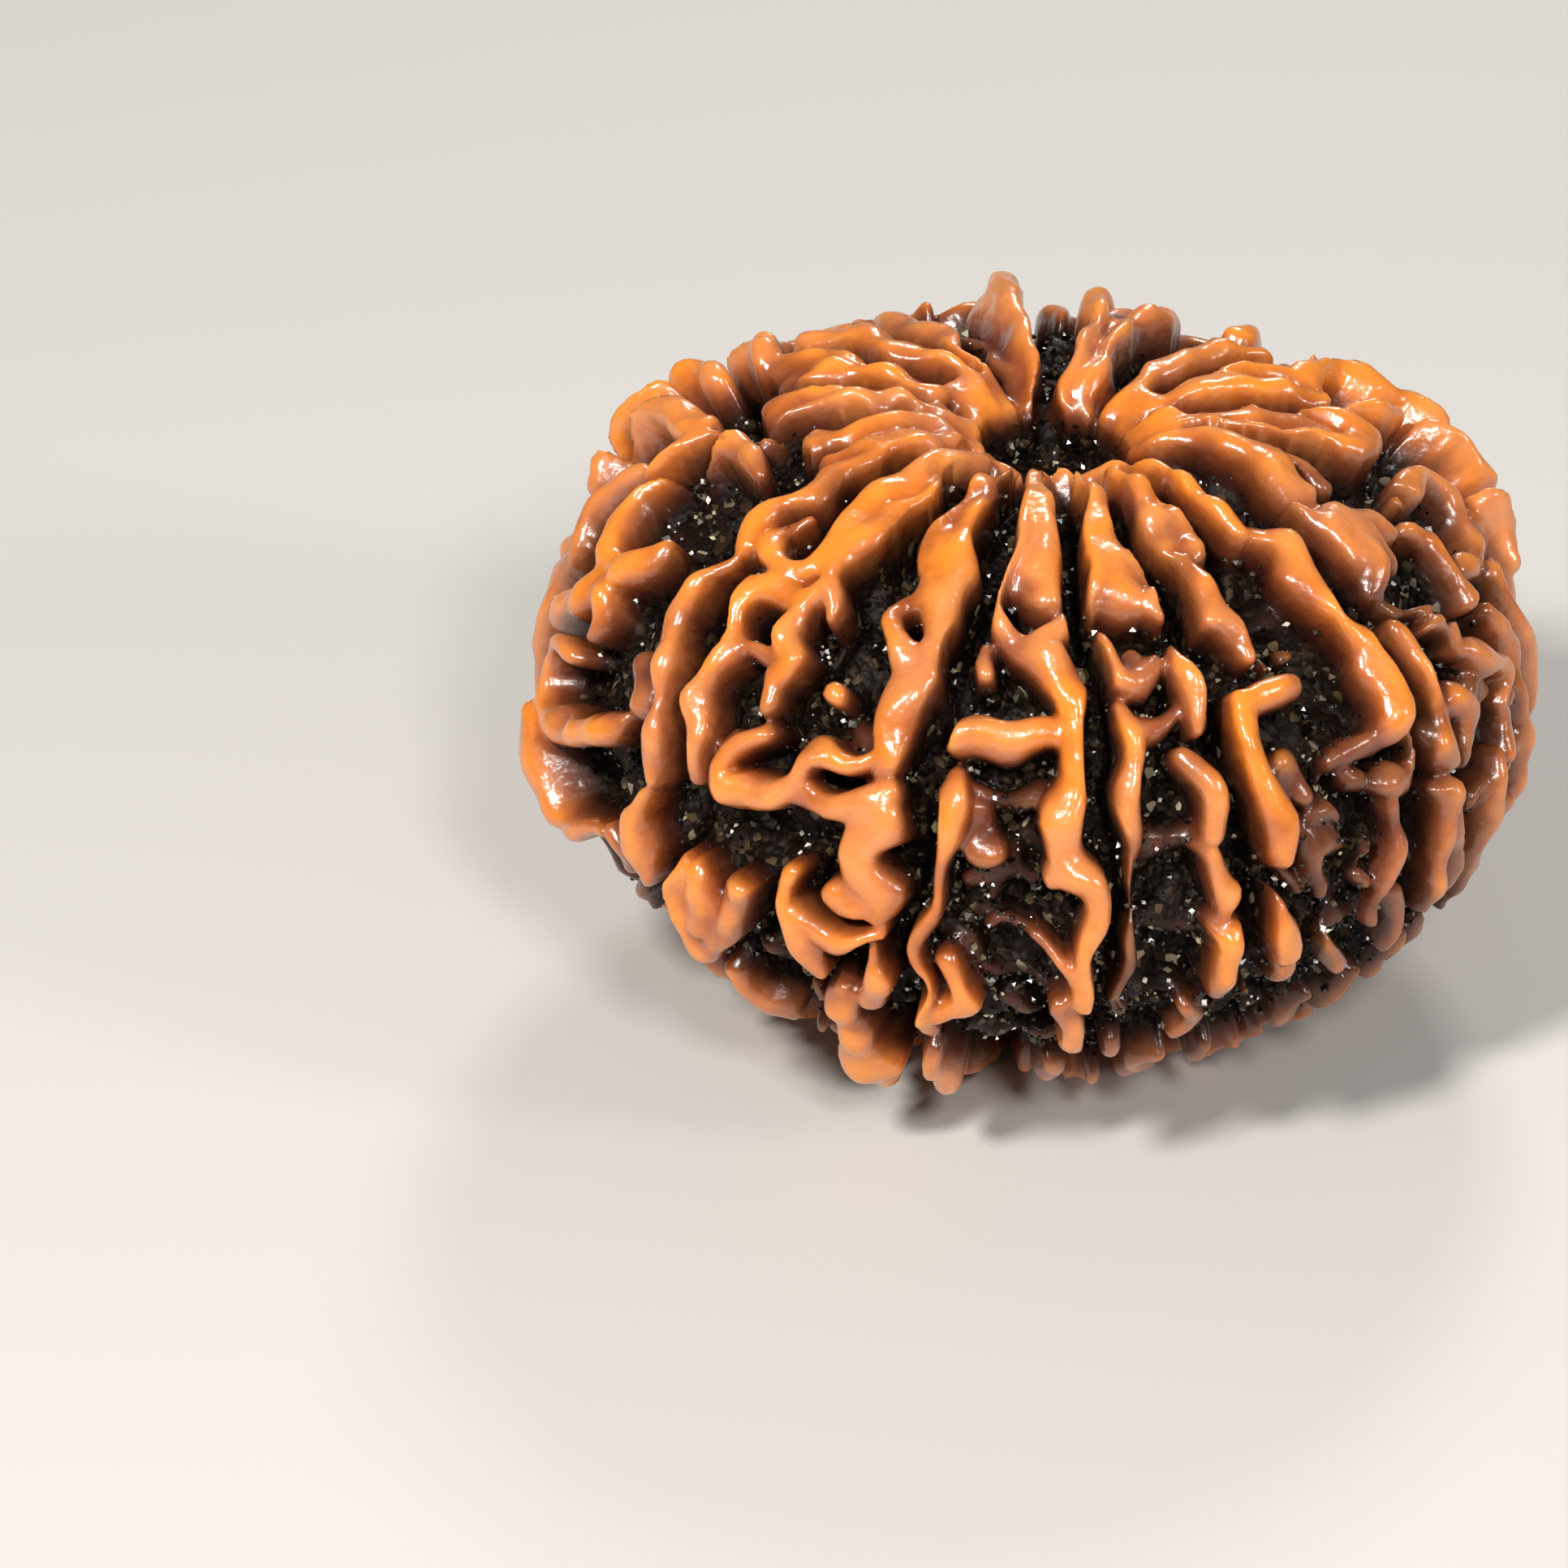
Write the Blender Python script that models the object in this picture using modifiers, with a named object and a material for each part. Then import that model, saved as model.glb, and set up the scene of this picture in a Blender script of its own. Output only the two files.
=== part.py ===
"""A rudraksha seed with nineteen faces, resting on a small flat of its lowest ridge tips.

The body is an icosphere moved onto a flattened, mouthed envelope. The envelope is where the
ridge tops lie. A relief, measured inwards from it, is the highest of many rounded ridges, each
drawn as a stroke over longitude and latitude, with straight grooves cut between the faces.
Longitude 0 faces -Y and grows towards +X. Metres, +Z up.
"""

import math
import random

import bmesh
import bpy
import numpy as np

MM = 0.001

# Envelope of the ridge tops
EQUATOR_RADIUS = 16.0 * MM
TOP_HEIGHT = 10.7 * MM
BOTTOM_DEPTH = 10.9 * MM
TOP_FULLNESS = 0.68
BOTTOM_FULLNESS = 1.12
BOTTOM_ROUNDNESS = 0.92
TOP_DIP_DEPTH = 2.4 * MM
TOP_DIP_RADIUS = 3.0 * MM
BOTTOM_DIP_DEPTH = 1.3 * MM
BOTTOM_DIP_RADIUS = 2.0 * MM

# Mouth at the stalk end
MOUTH_RADIUS = 2.0 * MM
MOUTH_LIP = 0.3 * MM
MOUTH_FLOOR = 7.0 * MM

# Relief: its depth, and what is left of it near the poles
RELIEF_DEPTH = 2.5 * MM
POLE_RELIEF_SHARE = 0.6
POLE_FADE_START = math.radians(70)
POLE_FADE_END = math.radians(87)

# Ridges with round caps and steep walls, and the grooves between the faces
CAP_EDGE = 0.92
WALL_SLOPE = 2.6
WALL_GROWTH = 16.0
BLEND = 0.25 * MM
GROOVE_HALF_WIDTH = 0.24 * MM
GROOVE_GROWTH = 16.0 / MM

# Floors of the pits, as shares of the relief
FLOOR_SHARE = 0.22
FLOOR_CHANGE = 0.12
FLOOR_LENGTH = 2.8 * MM
LEAST_FLOOR = 0.02

# Unevenness: waves that move the net aside and change its width and height
WAVE_COUNT = 9
WANDER = 0.13 * MM
WANDER_LENGTH = 2.4 * MM
WIDTH_CHANGE = 0.16
WIDTH_LENGTH = 1.9 * MM
LUMP = 0.07 * MM
LUMP_LENGTH = 1.5 * MM

# How closely the envelope and the strokes are followed
ENVELOPE_STEP = math.radians(0.2)
ENVELOPE_LIMIT = math.radians(89.9)
STROKE_STEP = 0.45 * MM
REACH = 2.6 * MM
GROOVE_RUN = 8

# Resting flat, lean and mesh
LEAN = math.radians(2.5)
REST_DEPTH = 10.1 * MM
SPHERE_SUBDIVISIONS = 8
EVEN_MESH = 0.2 * MM
SMOOTH_SHARE = 0.6
SMOOTH_ROUNDS = 5
KEPT_SHARE = 0.0295
SEED = 19

# Grooves between the faces, as points of longitude and latitude in degrees
FRONT_GROOVES = [
    [(-75, 66), (-70, 60), (-69, 50)],
    [(-66, 38), (-67, 30), (-68, 22), (-66, 15)],
    [(-62, 6), (-60, 0)],
    [(-57, 76), (-54, 70), (-53, 65)],
    [(-54, 50), (-53, 43), (-52, 37), (-52, 30), (-52, 24), (-50, 19), (-49, 12), (-48, 4),
     (-49, -6), (-48, -18)],
    [(-33, 85), (-33, 80), (-33, 74), (-33, 66), (-33, 56), (-33, 47), (-34, 40), (-35, 33)],
    [(-37, 10), (-34, 4), (-34, -6), (-33, -16), (-32, -28), (-31, -45)],
    [(-17, 86), (-17, 81), (-15, 70), (-13, 60), (-15, 50), (-15, 40), (-16, 30), (-15, 20),
     (-16, 5), (-16, -14), (-17, -35)],
    [(-18, -45), (-17, -60)],
    [(3, 86), (3, 82), (3, 70), (3, 60), (4, 50), (5, 40), (5, 28), (6, 20), (8, 10), (7, 0),
     (7, -12), (7, -30), (6, -60)],
    [(18, 86), (18, 80), (17, 70), (19, 60), (21, 52), (22, 42), (22, 30), (23, 20), (24, 8),
     (25, -6), (24, -20), (22, -60)],
    [(34, 85), (34, 80), (35, 74), (37, 67), (35, 60), (36, 54), (40, 47), (40, 38), (38, 33)],
    [(37, 22), (40, 12), (36, 2), (33, -10), (33, -25), (34, -60)],
    [(60, 80), (60, 74), (56, 66), (54, 56), (54, 49), (52, 42), (52, 33), (51, 24), (51, 14),
     (49, 4), (49, -14), (48, -60)],
    [(84, 78), (84, 68), (82, 60), (80, 55)],
    [(70, 42), (67, 38)],
    [(66, 16), (62, 12), (60, 2), (60, -10), (62, -30), (64, -60)],
]

# Front and top ridges, face by face: points of longitude, latitude, half width in mm and
# height as a share of the relief
FACE_A_B = [
    [(-6, 87, 0.3, 0.9), (-5, 76, 0.62, 0.95), (-5, 68, 0.88, 0.94), (-4.5, 63, 0.92, 0.9),
     (-4, 60, 0.75, 0.84)],
    [(-10, 87, 0.28, 1.0), (-11, 72, 0.38, 1.05), (-11, 62, 0.39, 1.05), (-10, 56, 0.34, 0.95),
     (-6, 51, 0.5, 0.95), (-1, 48, 0.52, 1.0), (2, 44, 0.48, 1.05), (2, 35, 0.47, 1.05),
     (2, 29, 0.52, 1.0), (1, 24, 0.6, 1.05), (1, 18, 0.69, 1.05), (4, 12, 0.56, 1.05),
     (5, 4, 0.52, 1.05), (5, -3, 0.56, 1.05), (5, -8, 0.43, 1.0)],
    [(1, 56, 0.34, 1.0), (-1, 53, 0.43, 1.0), (-5, 51, 0.34, 0.95)],
    [(-1, 14, 0.34, 0.95), (1, 17, 0.52, 1.0)],
    [(4, -4, 0.43, 0.95), (1, -2, 0.39, 0.9), (-1, 1, 0.3, 0.8)],
    [(2, -9, 0.3, 0.9), (3, -13, 0.45, 0.98), (4, -18, 0.5, 1.0), (4, -22, 0.42, 0.95)],
    [(-13, 35, 0.58, 1.0), (-8, 36, 0.6, 0.92), (-4, 37, 0.6, 0.95), (1, 37, 0.5, 1.0)],
    [(-11, 26, 0.52, 0.6), (-6, 26, 0.52, 0.55), (-2, 26, 0.43, 0.7)],
    [(-12, 51, 0.26, 0.85), (-12, 46, 0.3, 0.9)],
    [(-13, 29, 0.34, 0.9), (-13, 24, 0.43, 1.0), (-12, 18, 0.47, 1.0), (-13, 13, 0.36, 0.92),
     (-13.5, 6, 0.3, 0.88), (-14, 0, 0.34, 0.92), (-14.5, -5, 0.4, 0.98), (-15, -10, 0.45, 1.0),
     (-14, -16, 0.42, 1.0), (-13, -20, 0.35, 0.9)],
    [(-9, 22, 0.52, 0.75), (-9, 16, 0.52, 0.8)],
    [(-11, -5, 0.35, 0.85), (-10, -10, 0.55, 0.93), (-11.5, -15, 0.5, 0.95)],
    [(-7, 2, 0.3, 0.5), (-5, 4, 0.3, 0.52), (-2, 1, 0.3, 0.6)],
    [(-6, 18, 0.3, 0.45), (-6, 8, 0.3, 0.42)],
    [(-9, -28, 0.4, 0.5), (-3, -31, 0.4, 0.45), (2, -28, 0.4, 0.5)],
    [(3, -36, 0.42, 0.85), (2, -46, 0.42, 0.88)],
    [(1, -58, 0.42, 0.95), (0, -66, 0.42, 1.0), (-2, -78, 0.36, 1.0)],
    [(-14, -27, 0.4, 0.95), (-14, -33, 0.5, 1.16), (-13, -40, 0.45, 1.18)],
    [(-13, -50, 0.42, 0.95), (-12, -60, 0.42, 1.0), (-10, -80, 0.36, 1.0)],
]
FACE_B_C = [
    [(9, 87, 0.28, 0.95), (10, 75, 0.57, 1.0), (11, 67, 0.76, 1.0), (12, 61, 0.86, 0.96)],
    [(7, 87, 0.28, 1.0), (7, 70, 0.38, 1.05), (7, 62, 0.34, 1.0), (7, 56, 0.26, 0.8),
     (7, 51, 0.34, 0.95), (8, 46, 0.39, 1.0), (12, 46, 0.43, 0.88), (15, 49, 0.39, 0.85)],
    [(14, 67, 0.38, 1.0), (16, 62, 0.43, 1.05), (16, 58, 0.39, 0.95)],
    [(11, 49, 0.52, 0.78), (12, 48, 0.52, 0.78)],
    [(18, 52, 0.26, 0.9), (18, 48, 0.43, 1.05), (19, 42, 0.47, 1.05), (19, 36, 0.3, 0.95)],
    [(8, 40, 0.48, 0.9), (8.3, 34, 0.56, 0.95), (8.5, 28, 0.48, 0.95), (8, 21, 0.42, 0.9),
     (8.5, 12, 0.36, 0.74), (9, 4, 0.34, 0.68), (9, -6, 0.34, 0.66), (9.5, -16, 0.36, 0.66)],
    [(9, 38, 0.5, 0.85), (12, 39, 0.48, 0.8), (17, 42, 0.38, 0.75)],
    [(16, 33, 0.39, 0.9), (18, 29, 0.47, 1.0), (19, 23, 0.43, 1.0), (19, 19, 0.39, 0.95)],
    [(17, 17, 0.22, 0.75), (19, 15, 0.3, 0.95), (20, 11, 0.42, 1.0), (20, 7, 0.3, 0.9)],
    [(18.5, 5, 0.3, 0.85), (20.5, 2, 0.45, 1.0), (21, -3, 0.48, 1.02), (20.5, -9, 0.36, 0.9)],
    [(18, -14, 0.35, 0.75), (19, -19, 0.45, 0.82), (18, -24, 0.4, 0.8)],
    [(9, 20, 0.55, 0.55), (13, 18, 0.7, 0.5), (17, 19, 0.5, 0.55)],
    [(10, 4, 0.4, 0.4), (14, 1, 0.45, 0.35), (19, 2, 0.4, 0.4)],
    [(10, -16, 0.45, 0.45), (15, -14, 0.5, 0.4), (20, -16, 0.4, 0.5)],
    [(10, -26, 0.4, 0.75), (10, -36, 0.4, 0.8)],
    [(10, -46, 0.38, 0.9), (11, -58, 0.4, 0.98), (11, -74, 0.36, 1.0)],
    [(17, -36, 0.4, 0.85), (17, -46, 0.4, 0.88)],
    [(16, -58, 0.4, 0.95), (16, -68, 0.38, 1.0), (15, -78, 0.34, 1.0)],
]
FACE_C_D = [
    [(24, 87, 0.38, 0.95), (25, 75, 0.57, 1.0), (25, 70, 0.57, 1.0), (24, 67, 0.43, 0.9)],
    [(31, 87, 0.33, 0.9), (31, 76, 0.47, 0.95), (31, 70, 0.47, 0.92), (30, 66, 0.38, 0.85)],
    [(26, 65, 0.34, 0.95), (26, 60, 0.52, 1.0), (26, 54, 0.6, 1.0), (28, 48, 0.43, 0.95)],
    [(32, 50, 0.26, 0.6), (33, 46, 0.3, 0.65)],
    [(37, 49, 0.26, 0.6), (37, 46, 0.3, 0.65)],
    [(34, 41, 0.43, 0.9), (30, 41, 0.52, 0.98), (26, 41, 0.56, 1.0), (25, 35, 0.52, 1.05),
     (26, 28, 0.52, 1.05), (27, 21, 0.52, 1.05), (27, 13, 0.43, 1.0)],
    [(30, 28, 0.52, 0.75), (32, 23, 0.52, 0.75)],
    [(26, 4, 0.38, 0.88), (28, 1, 0.66, 1.02), (27.5, -4, 0.58, 1.0)],
    [(28, -7, 0.38, 0.85), (29, -11, 0.45, 0.88)],
    [(24, 11, 0.21, 0.6), (28, 10, 0.26, 0.65), (31, 5, 0.3, 0.65)],
    [(33, 18, 0.52, 0.65), (36, 18, 0.52, 0.65), (38, 15, 0.43, 0.6)],
    [(32, 14, 0.45, 0.7), (33, 8, 0.45, 0.68), (34, 2, 0.45, 0.66)],
    [(40, 87, 0.38, 0.9), (42, 75, 0.57, 1.0), (42, 69, 0.57, 0.98)],
    [(46, 67, 0.36, 0.9), (47, 63, 0.45, 1.0), (45, 57, 0.82, 1.0), (46, 52, 0.68, 1.0),
     (48, 47, 0.48, 0.97), (49, 43, 0.48, 0.97), (49, 38, 0.66, 1.0), (49, 33, 0.72, 1.03),
     (47, 29, 0.58, 0.98)],
    [(50, 28, 0.34, 0.85), (50, 22, 0.43, 0.82), (48, 18, 0.47, 0.78), (45, 20, 0.52, 0.75)],
    [(46, 28, 0.43, 0.8), (41, 27, 0.43, 0.7), (37, 26, 0.39, 0.65)],
    [(45, 15, 0.36, 0.74), (45, 8, 0.45, 0.8), (44, 2, 0.42, 0.76), (42, -5, 0.36, 0.72)],
    [(38, 6, 0.34, 0.6), (41, 2, 0.43, 0.65)],
    [(34, -4, 0.38, 0.68), (36, -8, 0.5, 0.8), (37, -13, 0.45, 0.82)],
    [(46, -3, 0.36, 0.75), (47, -8, 0.5, 0.8), (46, -13, 0.4, 0.78)],
    [(30, -25, 0.35, 0.5), (34, -24, 0.35, 0.5)],
    [(25, -15, 0.38, 0.78), (24, -20, 0.4, 0.8)],
    [(26, -34, 0.4, 0.8), (27, -44, 0.4, 0.85)],
    [(27, -56, 0.4, 0.95), (27, -70, 0.36, 1.0)],
    [(37, -24, 0.38, 0.7), (37, -32, 0.4, 0.75)],
    [(37, -46, 0.4, 0.88), (38, -58, 0.4, 0.98), (38, -72, 0.36, 1.0)],
    [(45, -22, 0.4, 0.72), (44, -32, 0.4, 0.75)],
    [(44, -46, 0.4, 0.88), (43, -60, 0.38, 1.0), (43, -72, 0.36, 1.0)],
    [(30, 16, 0.5, 0.62), (35, 12, 0.6, 0.62), (40, 10, 0.5, 0.6)],
    [(36, 22, 0.5, 0.6), (42, 22, 0.5, 0.62)],
    [(33, -2, 0.5, 0.5), (38, -4, 0.5, 0.5), (43, -3, 0.5, 0.52)],
]
FACE_D_F = [
    [(78, 87, 0.33, 0.95), (75, 78, 0.52, 1.0), (70, 71, 0.71, 1.0), (67, 67, 0.62, 0.95)],
    [(60, 66, 0.38, 0.95), (61, 61, 0.56, 1.0), (62, 56, 0.69, 1.0), (61, 51, 0.6, 0.95),
     (58, 48, 0.43, 0.88)],
    [(65, 61, 0.52, 0.95), (71, 58, 0.52, 0.96), (74, 53, 0.43, 0.9)],
    [(58, 46, 0.26, 0.75), (64, 43, 0.26, 0.75), (68, 39, 0.3, 0.8)],
    [(56, 42, 0.34, 0.88), (57, 38, 0.34, 0.9), (56, 32, 0.34, 0.9), (57, 26, 0.43, 0.9),
     (56, 17, 0.43, 0.85)],
    [(59, 38, 0.3, 0.85), (63, 39, 0.34, 0.88), (67, 36, 0.34, 0.86), (67, 31, 0.34, 0.8)],
    [(61, 27, 0.52, 0.85), (62, 22, 0.69, 0.9), (60, 17, 0.47, 0.8)],
    [(54, 13, 0.43, 0.88), (54, 7, 0.43, 0.88), (54, 2, 0.43, 0.88), (52, -3, 0.55, 0.88),
     (52, -9, 0.4, 0.8)],
    [(57, 8, 0.35, 0.8), (58, 0, 0.39, 0.8), (57, -7, 0.38, 0.74)],
    [(82, 76, 0.38, 0.85), (81, 70, 0.47, 0.85), (78, 66, 0.38, 0.8)],
    [(77, 51, 0.52, 0.85), (80, 47, 0.47, 0.85), (78, 41, 0.43, 0.88), (76, 35, 0.43, 0.88)],
    [(69, 30, 0.52, 0.9), (73, 26, 0.6, 0.95), (75, 20, 0.52, 0.92), (72, 16, 0.43, 0.9)],
    [(73, 13, 0.39, 0.92), (71, 8, 0.43, 0.92)],
    [(67, 9, 0.39, 0.9), (66, 2, 0.43, 0.92), (64, -4, 0.43, 0.88), (65, -12, 0.4, 0.75),
     (66, -20, 0.4, 0.7)],
    [(80, 30, 0.43, 0.9), (82, 22, 0.43, 0.92), (80, 12, 0.43, 0.95), (80, 0, 0.43, 0.92),
     (79, -8, 0.4, 0.8)],
    [(72, -2, 0.39, 0.85), (76, -6, 0.39, 0.85)],
    [(84, 54, 0.34, 0.85), (90, 52, 0.43, 0.95), (97, 48, 0.43, 1.0), (99, 42, 0.43, 0.95),
     (96, 36, 0.43, 0.92), (88, 34, 0.43, 0.9), (82, 37, 0.39, 0.88)],
    [(52, -18, 0.4, 0.68), (52, -28, 0.4, 0.7)],
    [(52, -42, 0.4, 0.85), (51, -56, 0.4, 0.98), (51, -72, 0.36, 1.0)],
    [(57, -18, 0.4, 0.65), (57, -28, 0.4, 0.7)],
    [(67, -34, 0.4, 0.8), (68, -46, 0.4, 0.92), (68, -62, 0.38, 1.0), (68, -74, 0.36, 1.0)],
    [(78, -18, 0.4, 0.72), (77, -28, 0.4, 0.75)],
    [(77, -42, 0.4, 0.88), (76, -58, 0.4, 1.0), (76, -72, 0.36, 1.0)],
    [(64, 62, 0.65, 0.95), (66, 57, 0.85, 0.96), (66, 52, 0.65, 0.9)],
    [(55, 24, 0.6, 0.7), (60, 24, 0.6, 0.72)],
    [(66, 24, 0.6, 0.74), (70, 22, 0.6, 0.76)],
    [(56, 6, 0.5, 0.7), (60, 5, 0.5, 0.7), (66, 5, 0.5, 0.74)],
    [(68, -2, 0.5, 0.72), (73, 2, 0.5, 0.76), (79, 4, 0.5, 0.78)],
    [(76, 14, 0.6, 0.78), (80, 16, 0.6, 0.8)],
    [(53, -6, 0.5, 0.7), (57, -8, 0.5, 0.68)],
]
FACE_Z_A = [
    [(-24, 87, 0.38, 0.9), (-25, 78, 0.4, 0.88), (-21, 71, 0.55, 0.98), (-20, 65, 0.62, 1.0),
     (-20, 60, 0.65, 1.0), (-19, 54, 0.47, 1.0), (-18.5, 49, 0.5, 1.0), (-20, 44, 0.72, 1.0),
     (-21, 38, 0.88, 1.05), (-21.5, 33, 0.8, 1.05), (-21, 28, 0.66, 1.0)],
    [(-29, 87, 0.28, 0.9), (-29, 74, 0.38, 0.95), (-28, 66, 0.38, 0.92), (-26, 61, 0.34, 0.92),
     (-21, 59, 0.34, 0.95)],
    [(-22, 58, 0.34, 0.95), (-26, 56, 0.3, 0.85), (-26, 52, 0.43, 0.95), (-24, 48, 0.47, 0.98),
     (-21, 45, 0.52, 1.0)],
    [(-30, 38, 0.47, 0.95), (-30, 37, 0.47, 0.95)],
    [(-37, 29, 0.39, 0.95), (-40, 25, 0.47, 1.0), (-42, 20, 0.56, 1.0), (-40, 16, 0.65, 1.0),
     (-36, 17, 0.65, 1.0), (-32, 21, 0.52, 1.0), (-31, 25, 0.43, 1.0), (-28, 28, 0.43, 1.0),
     (-24, 29, 0.39, 0.98)],
    [(-31, 20, 0.43, 0.95), (-27, 19, 0.43, 0.95), (-23, 21, 0.52, 1.0), (-20, 23, 0.52, 1.0)],
    [(-21, 18, 0.99, 1.05), (-22, 13, 0.99, 1.05), (-20, 7, 0.77, 1.0), (-20, 2, 0.6, 0.95)],
    [(-24, 5, 0.52, 0.95), (-22, 3, 0.52, 0.95)],
    [(-30, 6, 0.39, 0.95), (-31, 0, 0.43, 1.0), (-29, -6, 0.52, 1.0), (-26, -10, 0.39, 0.95)],
    [(-29, -2, 0.43, 0.95), (-23, -3, 0.43, 1.0), (-18, -1, 0.34, 0.95)],
    [(-19.5, -5, 0.38, 0.95), (-19, -10, 0.42, 1.0), (-20, -15, 0.4, 0.92)],
    [(-23, -14, 0.4, 0.9), (-24, -20, 0.68, 1.0), (-24, -28, 0.7, 1.05), (-23, -36, 0.66, 1.28),
     (-23, -43, 0.45, 1.2)],
    [(-31, -18, 0.35, 0.6), (-30, -24, 0.4, 0.65)],
    [(-36, 87, 0.47, 0.95), (-37, 73, 0.57, 0.95), (-39, 66, 0.62, 0.97), (-41, 59, 0.43, 0.97),
     (-39, 54, 0.43, 1.0), (-36, 49, 0.3, 0.97)],
    [(-48, 87, 0.47, 0.95), (-46, 74, 0.85, 1.0), (-46, 67, 0.95, 1.0), (-45, 61, 0.6, 1.0),
     (-44, 56, 0.43, 1.0), (-47, 53, 0.47, 1.0), (-51, 53, 0.43, 1.0), (-55, 57, 0.34, 0.9),
     (-55, 62, 0.3, 0.85)],
    [(-40, 53, 0.43, 1.0), (-42, 50, 0.43, 1.0), (-46, 50, 0.52, 1.0), (-50, 48, 0.52, 1.0),
     (-51, 43, 0.52, 1.0), (-49, 38, 0.65, 1.0), (-48, 33, 0.6, 1.0), (-48, 28, 0.52, 1.0),
     (-47, 23, 0.43, 1.0), (-45, 16, 0.3, 0.92)],
    [(-42, 50, 0.39, 1.0), (-41, 45, 0.43, 1.0), (-38, 41, 0.52, 1.0), (-40, 37, 0.39, 1.0),
     (-39, 34, 0.34, 1.0)],
    [(-46, 39, 0.39, 0.9), (-42, 40, 0.39, 0.88)],
    [(-43, 25, 0.3, 0.7), (-44, 22, 0.3, 0.75)],
    [(-45, 2, 0.39, 0.95), (-47, -6, 0.47, 1.0), (-46, -14, 0.52, 1.0), (-42, -16, 0.56, 1.0),
     (-39, -9, 0.65, 1.0), (-37, 0, 0.52, 0.95)],
    [(-43, 2, 0.45, 0.9), (-43.5, -4, 0.75, 0.98), (-43, -10, 0.7, 0.98)],
    [(-42, -22, 0.35, 0.85), (-39, -28, 0.48, 0.92), (-37, -33, 0.4, 0.88)],
    [(-25, 68, 0.5, 0.92), (-24, 62, 0.6, 0.94), (-23, 58, 0.5, 0.94)],
    [(-36, -44, 0.42, 0.88), (-35, -52, 0.42, 0.9)],
    [(-34, -60, 0.4, 0.95), (-33, -72, 0.36, 1.0)],
    [(-22, -56, 0.45, 0.95), (-21, -66, 0.42, 1.0), (-20, -78, 0.35, 1.0)],
    [(-29, -40, 0.4, 0.8), (-28, -50, 0.4, 0.85)],
    [(-27, -62, 0.42, 0.95), (-26, -74, 0.38, 1.0)],
]
FACE_N_Z = [
    [(-56, 51, 0.34, 0.95), (-59, 45, 0.52, 1.0), (-60, 39, 0.52, 1.0), (-58, 34, 0.47, 1.0),
     (-55, 28, 0.47, 1.0), (-54, 22, 0.47, 1.0), (-53, 16, 0.52, 1.0), (-51, 11, 0.39, 0.97)],
    [(-61, 27, 0.6, 0.78), (-59, 22, 0.6, 0.82)],
    [(-52, 8, 0.4, 0.95), (-53, 3, 0.56, 1.0), (-53, -3, 0.6, 1.0), (-52, -8, 0.47, 0.95)],
    [(-58, -2, 0.43, 0.95), (-57, -7, 0.47, 0.9)],
    [(-58, 53, 0.52, 1.0), (-60, 57, 0.56, 1.0), (-61, 62, 0.52, 0.98), (-60, 67, 0.52, 0.95),
     (-61, 73, 0.47, 0.92), (-63, 82, 0.33, 0.95)],
    [(-69, 87, 0.38, 0.95), (-69, 77, 0.62, 0.95), (-68, 71, 0.52, 0.9)],
    [(-79, 87, 0.38, 0.95), (-79, 77, 0.71, 0.97), (-79, 71, 0.66, 0.95), (-76, 68, 0.47, 0.88)],
    [(-76, 62, 0.45, 0.9), (-83, 61, 0.6, 1.0), (-90, 57, 0.68, 1.05), (-92, 50, 0.72, 1.1),
     (-89, 42, 0.62, 1.05), (-84, 36, 0.62, 1.0), (-78, 33, 0.6, 1.0), (-74, 37, 0.52, 0.97),
     (-71, 42, 0.45, 0.95)],
    [(-78, 30, 0.55, 1.0), (-82, 23, 0.58, 1.0), (-87, 15, 0.5, 1.0)],
    [(-76, 29, 0.4, 0.95), (-73.5, 24, 0.34, 0.9)],
    [(-76, 17, 0.34, 0.95), (-81, 14, 0.43, 1.0), (-83, 8, 0.52, 1.0), (-81, 2, 0.52, 1.0),
     (-75, 3, 0.6, 1.0), (-68, 8, 0.65, 1.0), (-62, 13, 0.6, 0.97), (-60, 17, 0.34, 0.9)],
    [(-82, -1, 0.47, 1.2), (-79.5, -7, 0.56, 1.28), (-74, -11, 0.47, 1.1), (-67, -10, 0.39, 0.95),
     (-62, -7, 0.34, 0.9)],
    [(-70, -16, 0.4, 0.66), (-70, -26, 0.4, 0.68)],
    [(-80, -15, 0.42, 0.74), (-81, -26, 0.42, 0.75)],
    [(-98, 87, 0.35, 0.95), (-97, 77, 0.55, 0.97), (-95, 70, 0.6, 0.95), (-89, 65, 0.5, 0.88)],
    [(-97, 55, 0.62, 1.05), (-103, 49, 0.8, 1.3), (-107, 42, 0.85, 1.48), (-108, 35, 0.72, 1.45),
     (-104, 29, 0.52, 1.15)],
    [(-94, 44, 0.43, 1.0), (-96, 36, 0.52, 1.05), (-94, 28, 0.52, 1.0), (-91, 20, 0.43, 0.95)],
    [(-92, 12, 0.43, 0.95), (-94, 4, 0.47, 0.95), (-92, -6, 0.47, 0.9)],
    [(-52, -18, 0.42, 0.72), (-51, -27, 0.42, 0.75)],
    [(-51, -40, 0.4, 0.85), (-50, -52, 0.4, 0.95), (-50, -70, 0.38, 1.0)],
    [(-59, -14, 0.4, 0.65), (-60, -24, 0.4, 0.68)],
    [(-60, -38, 0.4, 0.85), (-59, -50, 0.4, 0.95), (-59, -70, 0.36, 1.0)],
    [(-69, -40, 0.4, 0.85), (-69, -54, 0.4, 0.95), (-68, -72, 0.36, 1.0)],
    [(-80, -40, 0.4, 0.88), (-79, -54, 0.4, 0.95), (-78, -72, 0.36, 1.0)],
    [(-91, -16, 0.42, 0.78), (-90, -28, 0.42, 0.8)],
    [(-90, -42, 0.4, 0.9), (-88, -56, 0.4, 0.97), (-88, -72, 0.36, 1.0)],
]
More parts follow.
